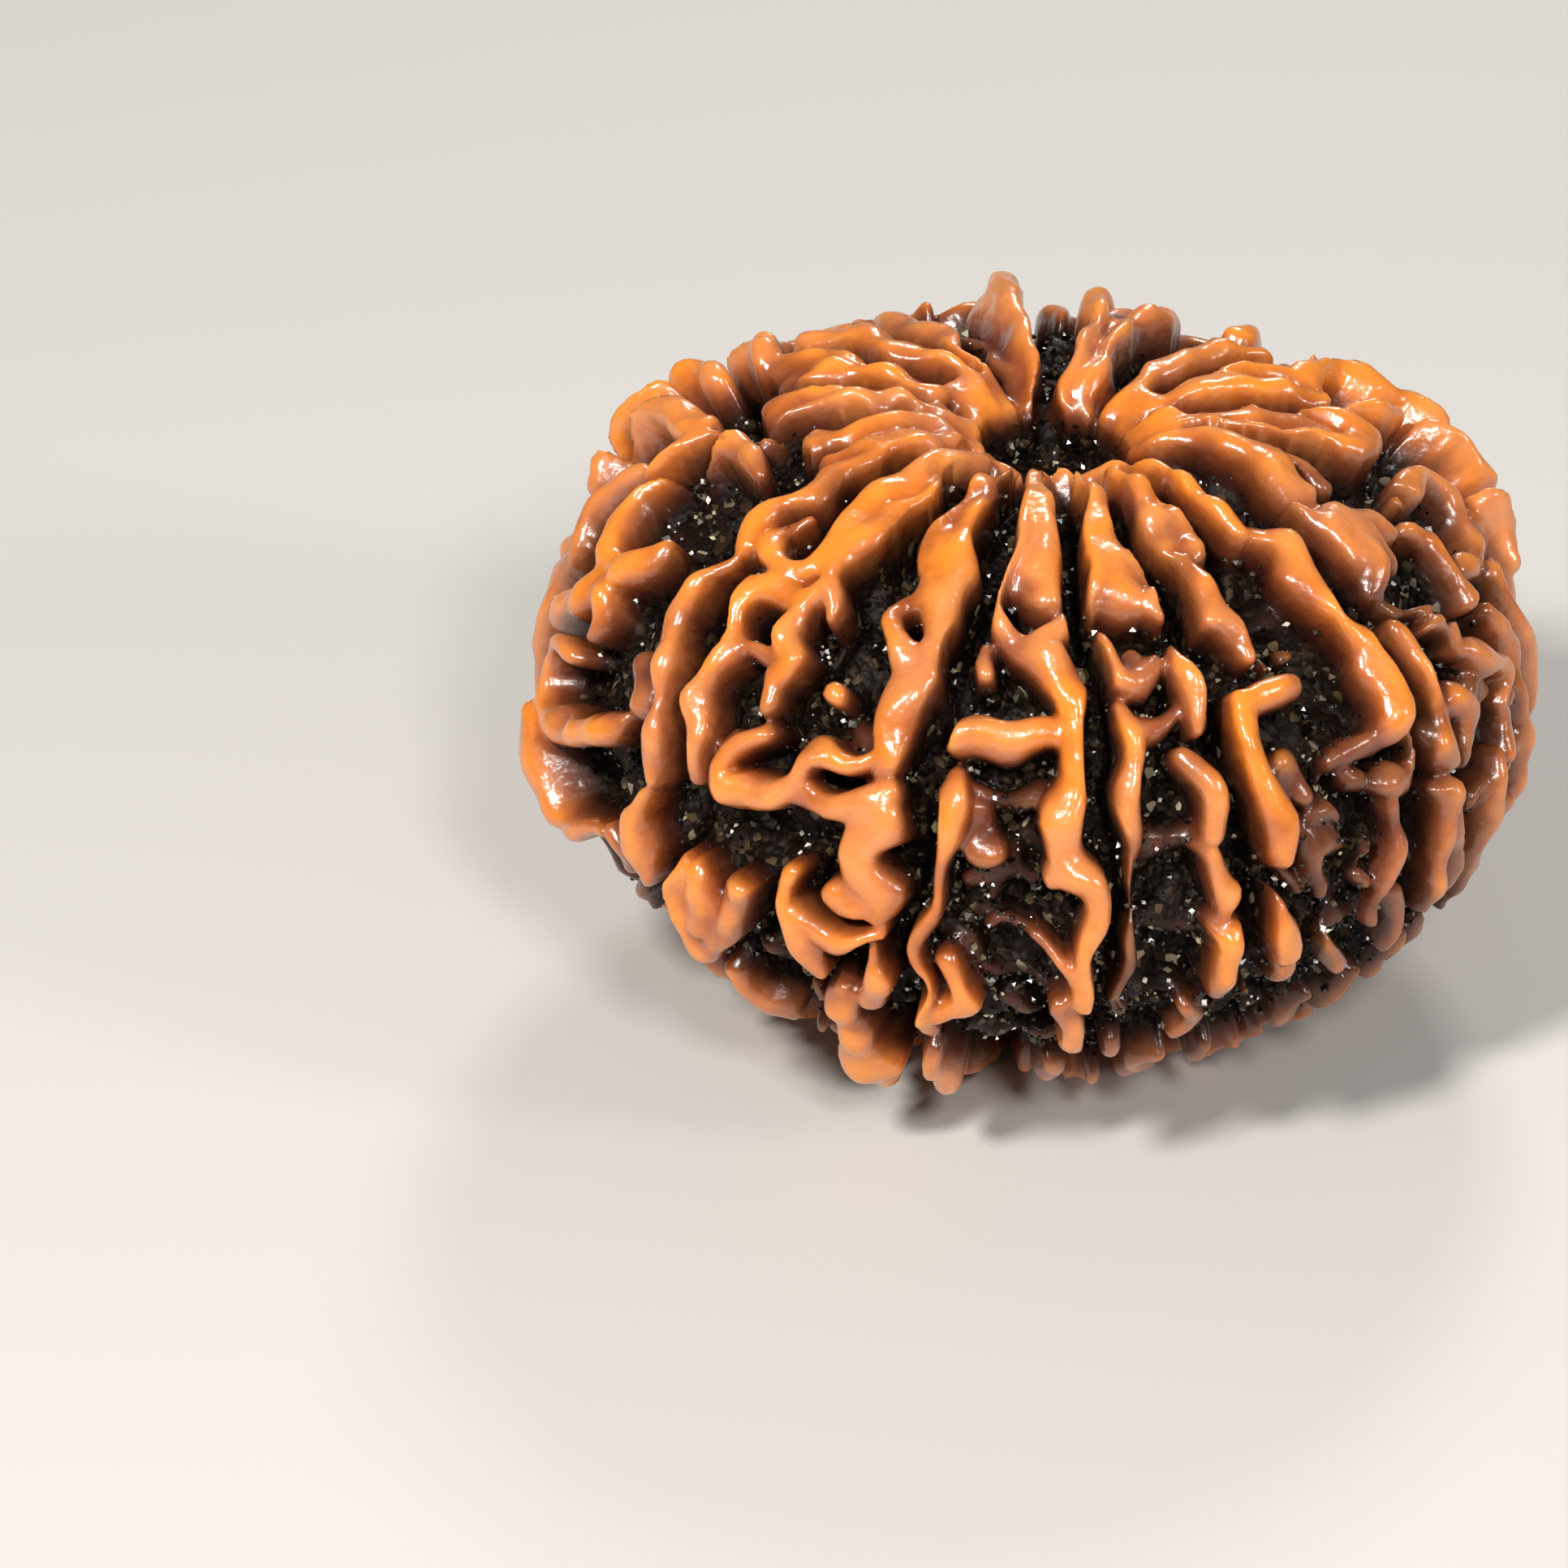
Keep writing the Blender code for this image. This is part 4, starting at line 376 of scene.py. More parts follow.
# The faces without strokes of their own, in degrees where no unit is given
BACK_GROOVES = [86, 106, 126, 146, 182, 204, 218, 235, 253, 270]
BACK_CROWN = [32, 42, 46, 50, 52, 54, 54, 44, 26]
BACK_GROOVE_LATITUDES = (20, -10, -66)
FIRST_CROWN = 30
RIM_OFFSET = 0.85 * MM
RIM_START = (0, 5)
RIM_BOTTOM = -68
RIM_OVERRUN = 8
RIM_LENGTH = (14, 34)
RIM_GAP = (2, 4)
RIM_SPACING = 7
RIM_WANDER = 1.6
RIM_HALF_WIDTH = (0.42, 0.62)
RIM_END_NARROWING = 0.1
RIM_END_DROP = 0.08
LEAST_RADIUS = 3 * MM
BAR_START = 6
BAR_STEP = (9, 14)
BAR_SLANT = 4
BAR_WANDER = 1.5
BAR_HEIGHTS = (0.6, 0.85, 0.95)
BAR_SHARE = 0.6
SPUR_SHARE = 0.25


def envelope(lon, lat):
    """Point and outward normal of the ridge-top envelope, for arrays in radians."""

    def outline(angle):
        cosine = np.maximum(np.cos(angle), 0.0)
        sine = np.sin(angle)
        upper = angle >= 0
        radius = EQUATOR_RADIUS * np.where(upper, cosine**TOP_FULLNESS, cosine**BOTTOM_FULLNESS)
        bottom = -BOTTOM_DEPTH * np.abs(sine) ** BOTTOM_ROUNDNESS
        height = np.where(upper, TOP_HEIGHT * sine, bottom)
        top_dip = TOP_DIP_DEPTH * np.exp(-((radius / TOP_DIP_RADIUS) ** 2))
        bottom_dip = BOTTOM_DIP_DEPTH * np.exp(-((radius / BOTTOM_DIP_RADIUS) ** 2))
        return radius, height - np.where(upper, top_dip, -bottom_dip)

    radius, height = outline(lat)
    below = np.clip(lat - ENVELOPE_STEP, -ENVELOPE_LIMIT, ENVELOPE_LIMIT)
    above = np.clip(lat + ENVELOPE_STEP, -ENVELOPE_LIMIT, ENVELOPE_LIMIT)
    low_radius, low_height = outline(below)
    high_radius, high_height = outline(above)
    along_radius = high_radius - low_radius
    along_height = high_height - low_height
    length = np.hypot(along_radius, along_height) + 1e-12
    out_radius = along_height / length
    out_height = -along_radius / length
    point = np.stack([radius * np.sin(lon), -radius * np.cos(lon), height], axis=-1)
    normal = np.stack([out_radius * np.sin(lon), -out_radius * np.cos(lon), out_height], axis=-1)
    return point, normal


def smooth_highest(first, second):
    """The higher of two fields, with a soft fillet where they meet."""
    overlap = np.maximum(BLEND - np.abs(first - second), 0.0)
    return np.maximum(first, second) + overlap**2 / (4 * BLEND)


def smooth_steps(points):
    """Rows of numbers along a Catmull-Rom curve through the given rows, close together."""
    rows = np.array(points, float)
    rows = np.vstack([2 * rows[0] - rows[1], rows, 2 * rows[-1] - rows[-2]])
    made = []
    for before, start, end, after in zip(rows, rows[1:], rows[2:], rows[3:]):
        spot, _ = envelope(np.radians([start[0], end[0]]), np.radians([start[1], end[1]]))
        count = max(2, int(np.linalg.norm(spot[1] - spot[0]) / STROKE_STEP))
        square = 2 * before - 5 * start + 4 * end - after
        cube = 3 * start - before - 3 * end + after
        for t in np.arange(count) / count:
            made.append(0.5 * (2 * start + (end - before) * t + square * t**2 + cube * t**3))
    made.append(rows[-2])
    return np.array(made)


def relief_scale(lat):
    """Share of the relief depth left near the two poles, where the faces run together."""
    t = np.clip((np.abs(lat) - POLE_FADE_START) / (POLE_FADE_END - POLE_FADE_START), 0.0, 1.0)
    return 1 - (1 - POLE_RELIEF_SHARE) * t * t * (3 - 2 * t)


def closest(points, start, end):
    """Distance of each point to a segment, and how far along the segment that is."""
    along = end - start
    t = np.clip((points - start) @ along / max(along @ along, 1e-12), 0.0, 1.0)
    return np.linalg.norm(points - start - t[:, None] * along, axis=1), t


def round_drop(distance, half_width):
    """How far a ridge's round cap and steep wall lie below its crest."""
    share = distance / half_width
    cap = 1 - np.sqrt(1 - np.minimum(share, CAP_EDGE) ** 2)
    past = np.maximum(share - CAP_EDGE, 0.0)
    return half_width * (cap + WALL_SLOPE * past + WALL_GROWTH * past**2)


def rim_inset(lat):
    """Degrees of longitude between a groove and the crest of the rim beside it."""
    spot, _ = envelope(np.radians([0.0]), np.radians([float(lat)]))
    return math.degrees(RIM_OFFSET / max(abs(spot[0][1]), LEAST_RADIUS))


def rim_strokes(draw, groove, inward, crown):
    """Short lengths of rim, one below the other, wandering along one side of a face."""
    strokes = []
    lat = crown - draw.uniform(*RIM_START)
    while lat > RIM_BOTTOM:
        last = max(lat - draw.uniform(*RIM_LENGTH), RIM_BOTTOM - RIM_OVERRUN)
        count = max(2, round((lat - last) / RIM_SPACING) + 1)
        points = []
        for index in range(count):
            here = lat + (last - lat) * index / (count - 1)
            lon = groove + inward * (rim_inset(here) + draw.uniform(0, RIM_WANDER))
            at_end = index in (0, count - 1)
            half_width = draw.uniform(*RIM_HALF_WIDTH) - RIM_END_NARROWING * at_end
            points.append((lon, here, half_width, 1.0 - RIM_END_DROP * at_end))
        strokes.append(points)
        lat = last - draw.uniform(*RIM_GAP)
    return strokes


def tie_stroke(draw, left, right, lat):
    """A bar from rim to rim, a spur from one rim, or a lone knob, by chance."""
    middle = (left + right) / 2
    slant = draw.uniform(-BAR_SLANT, BAR_SLANT)
    height = draw.choice(BAR_HEIGHTS)
    kind = draw.random()
    if kind < BAR_SHARE:
        sag = draw.uniform(-BAR_WANDER, BAR_WANDER)
        return [(left, lat + slant, 0.45, height), (middle, lat + sag, 0.5, height - 0.05),
                (right, lat - slant, 0.45, height)]
    shift = draw.uniform(-1, 1)
    if kind < BAR_SHARE + SPUR_SHARE:
        side = draw.choice((left, right))
        return [(side, lat + slant, 0.5, 0.95), (middle, lat, 0.5, 0.92),
                (middle + shift, lat - 4, 0.4, 0.9)]
    return [(middle, lat + 1, 0.5, 0.92), (middle + shift, lat - 1, 0.5, 0.92)]


def back_face(draw, west, east, crown):
    """Two rims down a face, tied by slanting bars, with knobs and spurs between them."""
    strokes = rim_strokes(draw, west, 1, crown) + rim_strokes(draw, east, -1, crown)
    lat = crown - BAR_START
    while lat > RIM_BOTTOM + RIM_OVERRUN:
        strokes.append(tie_stroke(draw, west + rim_inset(lat), east - rim_inset(lat), lat))
        lat -= draw.uniform(*BAR_STEP)
    return strokes


def sink_mouth(points, lat, spots):
    """Takes the points inside the mouth's rim down to its floor."""
    radius = np.hypot(spots[:, 0], spots[:, 1])
    t = np.clip((MOUTH_RADIUS + MOUTH_LIP - radius) / (2 * MOUTH_LIP), 0.0, 1.0)
    share = np.where(lat > 0, t * t * (3 - 2 * t), 0.0)
    points[:, 2] += (MOUTH_FLOOR - points[:, 2]) * share


# Surface of the stone
SPHERE_SUBDIVISIONS = 9
EVEN_MESH = 0.1 * MM
SMOOTH_SHARE = 0.6
SMOOTH_ROUNDS = 4
STONE_TRIANGLES = 190000

# Sand and crumbs in the pits, grooves and mouth, with radii in mm
SAND_COUNT = 23500
SAND_RADIUS = (0.04, 0.13)
SAND_FACES = 8
CRUMB_COUNT = 700
CRUMB_RADIUS = (0.12, 0.26)
CRUMB_FACES = 20
PIT_DEPTH = 1.05 * MM
LOWEST_GRAIN = 0.4 * MM
GRAIN_SCATTER = 0.06 * MM
GRAIN_RISE = 0.25
GRAIN_STRETCH = (0.6, 1.3)
GRAIN_RAGGEDNESS = (0.8, 1.2)

# Bright grains lie in clusters; in the sand they are painted glints
CLUSTER_SHARE = 0.10
CLUSTER_LENGTH = 1.3 * MM

# Colour by depth, partly painted shade: the mouth's walls count as deeper (its debris and painted
# shade), steep walls count as deeper (painted shade), crests stand out lighter (partly painted
# light)
PROFILE_END = 89.8
PROFILE_STEPS = 1800
MOUTH_TOP = 9.3 * MM
MOUTH_SHADE = 1.6
STEEP_SHADE = 0.06
STEEP_ROUNDS = 2
SQUATNESS = 2.2
CREST_RISE = 0.5 * MM
CREST_ROUNDS = 14
CREST_HEIGHT_GAIN = 2
CREST_HEIGHT_START = 0.9

# Noise in the stone's material: waves per metre, then strengths
GRAIN_SCALE = 3200.0
GRAVEL_SCALE = 3600.0
DIMPLE_SCALE = 1100.0
# Patches where the lighter crest colour shows: partly wear, partly painted light
WEAR_AND_LIGHT_SCALE = 500.0
BLOTCH_SCALE = 420.0
BLUSH_SCALE = 230.0
BLOTCH_STRENGTH = 0.45
GRAIN_BUMP = 0.22
DIMPLE_BUMP = 1.1

# Colours from low to high: position and linear red, green and blue
# Skin and its pink blush darken from the crests down into the pits: partly the seed's own red-brown
# walls and black pits, partly painted shade
SKIN_STOPS = [
    (0.0, (0.004, 0.001, 0.001)), (0.36, (0.01, 0.002, 0.001)), (0.56, (0.05, 0.009, 0.003)),
    (0.71, (0.15, 0.028, 0.006)), (0.85, (0.39, 0.085, 0.01)), (0.95, (0.68, 0.18, 0.013)),
    (1.0, (0.8, 0.235, 0.016)),
]
PINK_STOPS = [
    (0.36, (0.012, 0.003, 0.002)), (0.66, (0.15, 0.036, 0.015)), (0.84, (0.34, 0.098, 0.04)),
    (1.0, (0.6, 0.205, 0.078)),
]
# Lighter crest colour: partly the seed's own lighter ridge tops, partly painted light
CREST_COLOUR = (0.94, 0.37, 0.060)
GRAVEL_STOPS = [
    (0.0, (0.003, 0.0015, 0.001)), (0.7, (0.009, 0.004, 0.002)), (0.9, (0.03, 0.015, 0.007)),
    (0.97, (0.09, 0.062, 0.028)), (1.0, (0.34, 0.28, 0.19)),
]
# Sand: near-black grains of its own colour; the pale top tints, beige to near white, are painted
# glints
SAND_STOPS = [
    (0.0, (0.002, 0.0012, 0.001)), (0.68, (0.009, 0.005, 0.003)), (0.8, (0.045, 0.026, 0.012)),
    (0.84, (0.16, 0.13, 0.075)), (0.87, (0.6, 0.52, 0.34)), (0.92, (0.95, 0.94, 0.92)),
]
CRUMB_STOPS = [
    (0.0, (0.008, 0.004, 0.002)), (0.6, (0.03, 0.018, 0.008)), (0.84, (0.1, 0.08, 0.036)),
    (0.95, (0.38, 0.31, 0.18)),
]

# Shares of a mixture from low to high: position and share
BLUSH_SHARES = [(0.44, 0.0), (0.60, 0.75)]
# Shares of the lighter crest colour: partly wear, partly painted light
WEAR_AND_LIGHT_SHARES = [(0.35, 0.25), (0.65, 1.0)]
BED_SHARES = [(0.24, 1.0), (0.40, 0.0)]
GLOSS_SHARES = [(0.35, 0.0), (0.75, 1.0)]

# Finish of the surfaces, as inputs of their shaders
STONE_FINISH = {
    "Coat Roughness": 0.22,
    "Coat IOR": 1.7,
    "Roughness": 0.55,
    "Specular IOR Level": 0.15,
    "Subsurface Weight": 0.10,
    "Subsurface Radius": (1.0, 0.36, 0.12),
    "Subsurface Scale": 0.4 * MM,
}
SKIN_BUMP = {"Strength": 0.8, "Distance": 0.10 * MM}
SAND_FINISH = {"Roughness": 0.22, "Specular IOR Level": 0.7}
CRUMB_FINISH = {"Roughness": 0.3, "Specular IOR Level": 0.7}
FLOOR_FINISH = {"Base Color": (0.62, 0.61, 0.59, 1.0), "Roughness": 0.7}

# Lights: name, place and width in metres, power in watts, colour
LIGHTS = [
    ("key_light", (-0.14, -0.20, 0.27), 0.055, 1.20, (1.0, 0.96, 0.91)),
    ("front_light", (0.05, -0.26, 0.22), 0.055, 0.50, (1.0, 0.97, 0.95)),
    ("fill_light", (0.26, -0.14, 0.16), 0.06, 0.26, (1.0, 0.97, 0.95)),
    ("back_light", (0.05, 0.26, 0.22), 0.08, 0.36, (1.0, 0.97, 0.93)),
]
SKY = {"Color": (0.86, 0.84, 0.81, 1.0), "Strength": 0.14}
FLOOR_RADIUS = 1.2
FLOOR_GAP = 0.02 * MM

# Camera, as the photograph sees the stone
ELEVATION = math.radians(30)
DISTANCE = 250 * MM
IMAGE_SIZE = 1932
PIXELS_PER_MM = 38.75
AXIS_PIXEL = (1275, 858)
SENSOR = 36.0


def waves(draw, points, length):
    """An irregular smooth field of about unit size: waves of one length in chance directions."""
    total = np.zeros(len(points))
    for _ in range(WAVE_COUNT):
        way = draw.normal(size=3)
        way *= 2 * math.pi / (length * np.linalg.norm(way))
        total += np.sin(points @ way + draw.uniform(0, 2 * math.pi))
    return total * math.sqrt(2 / WAVE_COUNT)


def within_reach(spots, square, path):
    """Indices of the points that a path's ridge or groove can touch."""
    middle = path.mean(axis=0)
    radius = np.linalg.norm(path - middle, axis=1).max() + REACH
    return np.nonzero(square - 2 * spots @ middle + middle @ middle < radius**2)[0]


def add_ridge(field, spots, square, depth, widths, points):
    """Raises the field to a ridge along the stroke."""
    rows = smooth_steps(points)
    path, _ = envelope(np.radians(rows[:, 0]), np.radians(rows[:, 1]))
    near = within_reach(spots, square, path)
    if len(near) == 0:
        return
    here = spots[near]
    highest = np.full(len(near), -1.0)
    for start, end, first, second in zip(path, path[1:], rows, rows[1:]):
        distance, t = closest(here, start, end)
        half_width = (first[2] + (second[2] - first[2]) * t) * MM * widths[near]
        share = first[3] + (second[3] - first[3]) * t
        height = -depth[near] * (1 - share) - round_drop(distance, half_width)
        highest = np.maximum(highest, height)
    field[near] = smooth_highest(field[near], highest)


def cut_groove(field, spots, square, depth, points):
    """Lowers the field to a groove along the stroke."""
    rows = smooth_steps(points)
    path, _ = envelope(np.radians(rows[:, 0]), np.radians(rows[:, 1]))
    nearest = np.full(len(spots), 1.0)
    for first in range(0, len(path) - 1, GROOVE_RUN):
        run = path[first:first + GROOVE_RUN + 1]
        near = within_reach(spots, square, run)
        for start, end in zip(run, run[1:]):
            distance, _ = closest(spots[near], start, end)
            nearest[near] = np.minimum(nearest[near], distance)
    near = np.nonzero(nearest < REACH)[0]
    beyond = np.maximum(nearest[near] - GROOVE_HALF_WIDTH, 0.0)
    wall = -depth[near] + WALL_SLOPE * beyond + beyond**2 * GROOVE_GROWTH
    field[near] = -smooth_highest(-field[near], -wall)


def relief(lon, lat, spots):
    """Height of the surface above the envelope, negative where it lies deeper."""
    depth = RELIEF_DEPTH * relief_scale(lat)
    chance = np.random.default_rng(SEED)
    lumps = LUMP * waves(chance, spots, LUMP_LENGTH)
    widths = 1 + WIDTH_CHANGE * waves(chance, spots, WIDTH_LENGTH)
    aside = [waves(chance, spots, WANDER_LENGTH) for _ in range(3)]
    spots = spots + WANDER * np.stack(aside, axis=1)
    floor = FLOOR_SHARE + FLOOR_CHANGE * waves(chance, spots, FLOOR_LENGTH)
    field = -depth * (1 - np.maximum(floor, LEAST_FLOOR))
    behind = np.clip((np.abs(lon) - BACK_START) / BACK_FADE, 0.0, 1.0)
    behind *= np.clip((BACK_TOP - lat) / BACK_FADE, 0.0, 1.0)
    sway = [waves(chance, spots, SWAY_LENGTH) for _ in range(3)]
    spots = spots + SWAY * behind[:, None] * np.stack(sway, axis=1)
    square = (spots**2).sum(axis=1)
    strokes = FACE_A_B + FACE_B_C + FACE_C_D + FACE_D_F + FACE_Z_A + FACE_N_Z + TOP_BACK
    draw = random.Random(SEED)
    for west, east, crown in zip(BACK_GROOVES, BACK_GROOVES[1:], BACK_CROWN):
        strokes = strokes + back_face(draw, west, east, crown)
    for points in strokes:
        add_ridge(field, spots, square, depth, widths, points)
    grooves = list(FRONT_GROOVES)
    for lon_of_groove, crown in zip(BACK_GROOVES, [FIRST_CROWN] + BACK_CROWN):
        grooves.append([(lon_of_groove, step) for step in (82, 66, crown) + BACK_GROOVE_LATITUDES])
    for points in grooves:
        cut_groove(field, spots, square, depth, points)
    return field + lumps


def stone_points(directions):
    """Surface point for each direction from the stone's middle, upright."""
    lon = np.arctan2(directions[:, 0], -directions[:, 1])
    lat = np.arcsin(np.clip(directions[:, 2], -1.0, 1.0))
    spots, normals = envelope(lon, lat)
    heights = relief(lon, lat, spots)
    points = spots + normals * heights[:, None]
    sink_mouth(points, lat, spots)
    return points


def leaned(points):
    """The upright stone's points as it leans and rests."""
    across = points[:, 0] * math.cos(LEAN) + points[:, 2] * math.sin(LEAN)
    upright = points[:, 2] * math.cos(LEAN) - points[:, 0] * math.sin(LEAN)
    return np.stack([across, points[:, 1], upright + REST_DEPTH], axis=1)


def upright(points):
    """The reverse of leaned."""
    lifted = points[:, 2] - REST_DEPTH
    across = points[:, 0] * math.cos(LEAN) - lifted * math.sin(LEAN)
    height = lifted * math.cos(LEAN) + points[:, 0] * math.sin(LEAN)
    return np.stack([across, points[:, 1], height], axis=1)


def rows_of(items, name="co"):
    """A vector of each item, one row each: its place, where no other is named."""
    values = np.empty(len(items) * 3)
    items.foreach_get(name, values)
    return values.reshape(-1, 3)


def applied(thing):
    """The thing's mesh with its modifiers in it."""
    graph = bpy.context.evaluated_depsgraph_get()
    mesh = bpy.data.meshes.new_from_object(thing.evaluated_get(graph))
    old = thing.data
    thing.modifiers.clear()
    thing.data = mesh
    bpy.data.meshes.remove(old)
    return mesh


def link(thing):
    """Adds an object to the scene."""
    bpy.context.scene.collection.objects.link(thing)
    return thing


def build_stone():
    """The stone's fine mesh over its CAD solid, and how far it was moved sideways for that."""
    shape = bmesh.new()
    bmesh.ops.create_icosphere(shape, subdivisions=SPHERE_SUBDIVISIONS, radius=1.0)
    mesh = bpy.data.meshes.new("stone_detail")
    shape.to_mesh(mesh)
    shape.free()
    mesh.vertices.foreach_set("co", leaned(stone_points(rows_of(mesh.vertices))).ravel())
    mesh.update()
    stone = link(bpy.data.objects.new("stone_detail", mesh))
    even = stone.modifiers.new("even_mesh", "REMESH")
    even.mode = "VOXEL"
    even.voxel_size = EVEN_MESH
    even.use_smooth_shade = True
    soft = stone.modifiers.new("soft_walls", "SMOOTH")
    soft.factor = SMOOTH_SHARE
    soft.iterations = SMOOTH_ROUNDS
    mesh = applied(stone)
    fewer = stone.modifiers.new("fewer_triangles", "DECIMATE")
    fewer.ratio = STONE_TRIANGLES / (2 * len(mesh.polygons))
    mesh = applied(stone)
    points = rows_of(mesh.vertices)
    points[:, 2] = np.maximum(points[:, 2], 0.0)
    low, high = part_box("rudraksha_stone")
    shift = (np.array(low) + high) / 2 - (points.min(axis=0) + points.max(axis=0)) / 2
    shift[2] = 0.0
    mesh.vertices.foreach_set("co", (points + shift).ravel())
    mesh.update()
    mesh.shade_smooth()
    return stone, shift


def profile_depth(points):
    """How far each upright point lies inside the ridge-top envelope."""
    lat = np.radians(np.linspace(-PROFILE_END, PROFILE_END, PROFILE_STEPS))
    spots, normals = envelope(np.zeros_like(lat), lat)
    tree = kdtree.KDTree(len(lat))
    for index, spot in enumerate(spots):
        tree.insert((-spot[1], 0.0, spot[2]), index)
    tree.balance()
    radius = np.hypot(points[:, 0], points[:, 1])
    depth = np.empty(len(points))
    for index, (across, height) in enumerate(zip(radius, points[:, 2])):
        nearest = tree.find((across, 0.0, height))[1]
        spot = spots[nearest]
        normal = normals[nearest]
        depth[index] = (-spot[1] - across) * -normal[1] + (spot[2] - height) * normal[2]
    # In the mouth the depth grows towards its floor, so its walls are painted darker: partly its
    # debris lining, partly painted shade
    in_mouth = (radius < MOUTH_RADIUS + 2 * MOUTH_LIP) & (points[:, 2] > 0)
    return np.where(in_mouth, np.maximum(depth, MOUTH_SHADE * (MOUTH_TOP - points[:, 2])), depth)


def spread_over(mesh, values, rounds):
    """Values evened out between neighbouring vertices, a number of times."""
    ends = np.empty(len(mesh.edges) * 2, dtype=np.int64)
    mesh.edges.foreach_get("vertices", ends)
    ends = ends.reshape(-1, 2)
    count = np.bincount(ends.ravel(), minlength=len(values)).astype(float)
    for _ in range(rounds):
        total = np.bincount(ends[:, 0], values[ends[:, 1]], len(values))
        total += np.bincount(ends[:, 1], values[ends[:, 0]], len(values))
        values = 0.5 * values + 0.5 * total / np.maximum(count, 1.0)
    return values


def add_attribute(mesh, name, values):
    """A number for each vertex, which materials can read."""
    layer = mesh.attributes.new(name, "FLOAT", "POINT")
    layer.data.foreach_set("value", values.astype(np.float32))


def node(tree, kind, **settings):
    """A new shader node with some of its settings."""
    made = tree.nodes.new(kind)
    for name, value in settings.items():
        setattr(made, name, value)
    return made


def set_inputs(made, values):
    """Sets a node's inputs by their names."""
    for name, value in values.items():
        made.inputs[name].default_value = value


def ramp(tree, source, stops):
    """Colours looked up by a value."""
    made = node(tree, "ShaderNodeValToRGB")
    elements = made.color_ramp.elements
    while len(elements) < len(stops):
        elements.new(0.5)
    for element, (place, colour) in zip(elements, stops):
        element.position = place
        element.color = (*colour, 1.0)
    tree.links.new(source, made.inputs["Fac"])
    return made.outputs["Color"]


def share_ramp(tree, source, shares):
    """Shares looked up by a value."""
    return ramp(tree, source, [(position, (share,) * 3) for position, share in shares])


def noise(tree, place, scale, detail=3.0, roughness=0.55):
    """Smooth noise between 0 and 1."""
    made = node(tree, "ShaderNodeTexNoise")
    set_inputs(made, {"Scale": scale, "Detail": detail, "Roughness": roughness})
    tree.links.new(place, made.inputs["Vector"])
    return made.outputs["Fac"]


def math_node(tree, operation, first, second, clamp=False):
    """A sum, difference or product of sockets and numbers."""
    made = node(tree, "ShaderNodeMath", operation=operation, use_clamp=clamp)
    for socket, value in zip(made.inputs, (first, second)):
        if isinstance(value, (int, float)):
            socket.default_value = value
        else:
            tree.links.new(value, socket)
    return made.outputs[0]


def mixed(tree, factor, first, second):
    """The first colour where the factor is 0, the second where it is 1."""
    made = node(tree, "ShaderNodeMix", data_type="RGBA")
    tree.links.new(factor, made.inputs["Factor"])
    for socket, value in zip(made.inputs[6:8], (first, second)):
        if isinstance(value, tuple):
            socket.default_value = (*value, 1.0)
        else:
            tree.links.new(value, socket)
    return made.outputs[2]


def attribute(tree, name):
    """A number that the mesh stores for each vertex."""
    return node(tree, "ShaderNodeAttribute", attribute_name=name).outputs["Fac"]


def gravel(tree, place):
    """Colour and height of grains packed side by side."""
    cells = node(tree, "ShaderNodeTexVoronoi")
    cells.inputs["Scale"].default_value = GRAVEL_SCALE
    tree.links.new(place, cells.inputs["Vector"])
    chance = node(tree, "ShaderNodeSeparateColor")
    tree.links.new(cells.outputs["Color"], chance.inputs["Color"])
    colour = ramp(tree, chance.outputs["Red"], GRAVEL_STOPS)
    return colour, math_node(tree, "SUBTRACT", 1.0, cells.outputs["Distance"])


def new_material(name, finish):
    """A material with its node tree and its shader."""
    material = bpy.data.materials.new(name)
    material.use_nodes = True
    tree = material.node_tree
    shader = tree.nodes["Principled BSDF"]
    set_inputs(shader, finish)
    return material, tree, shader


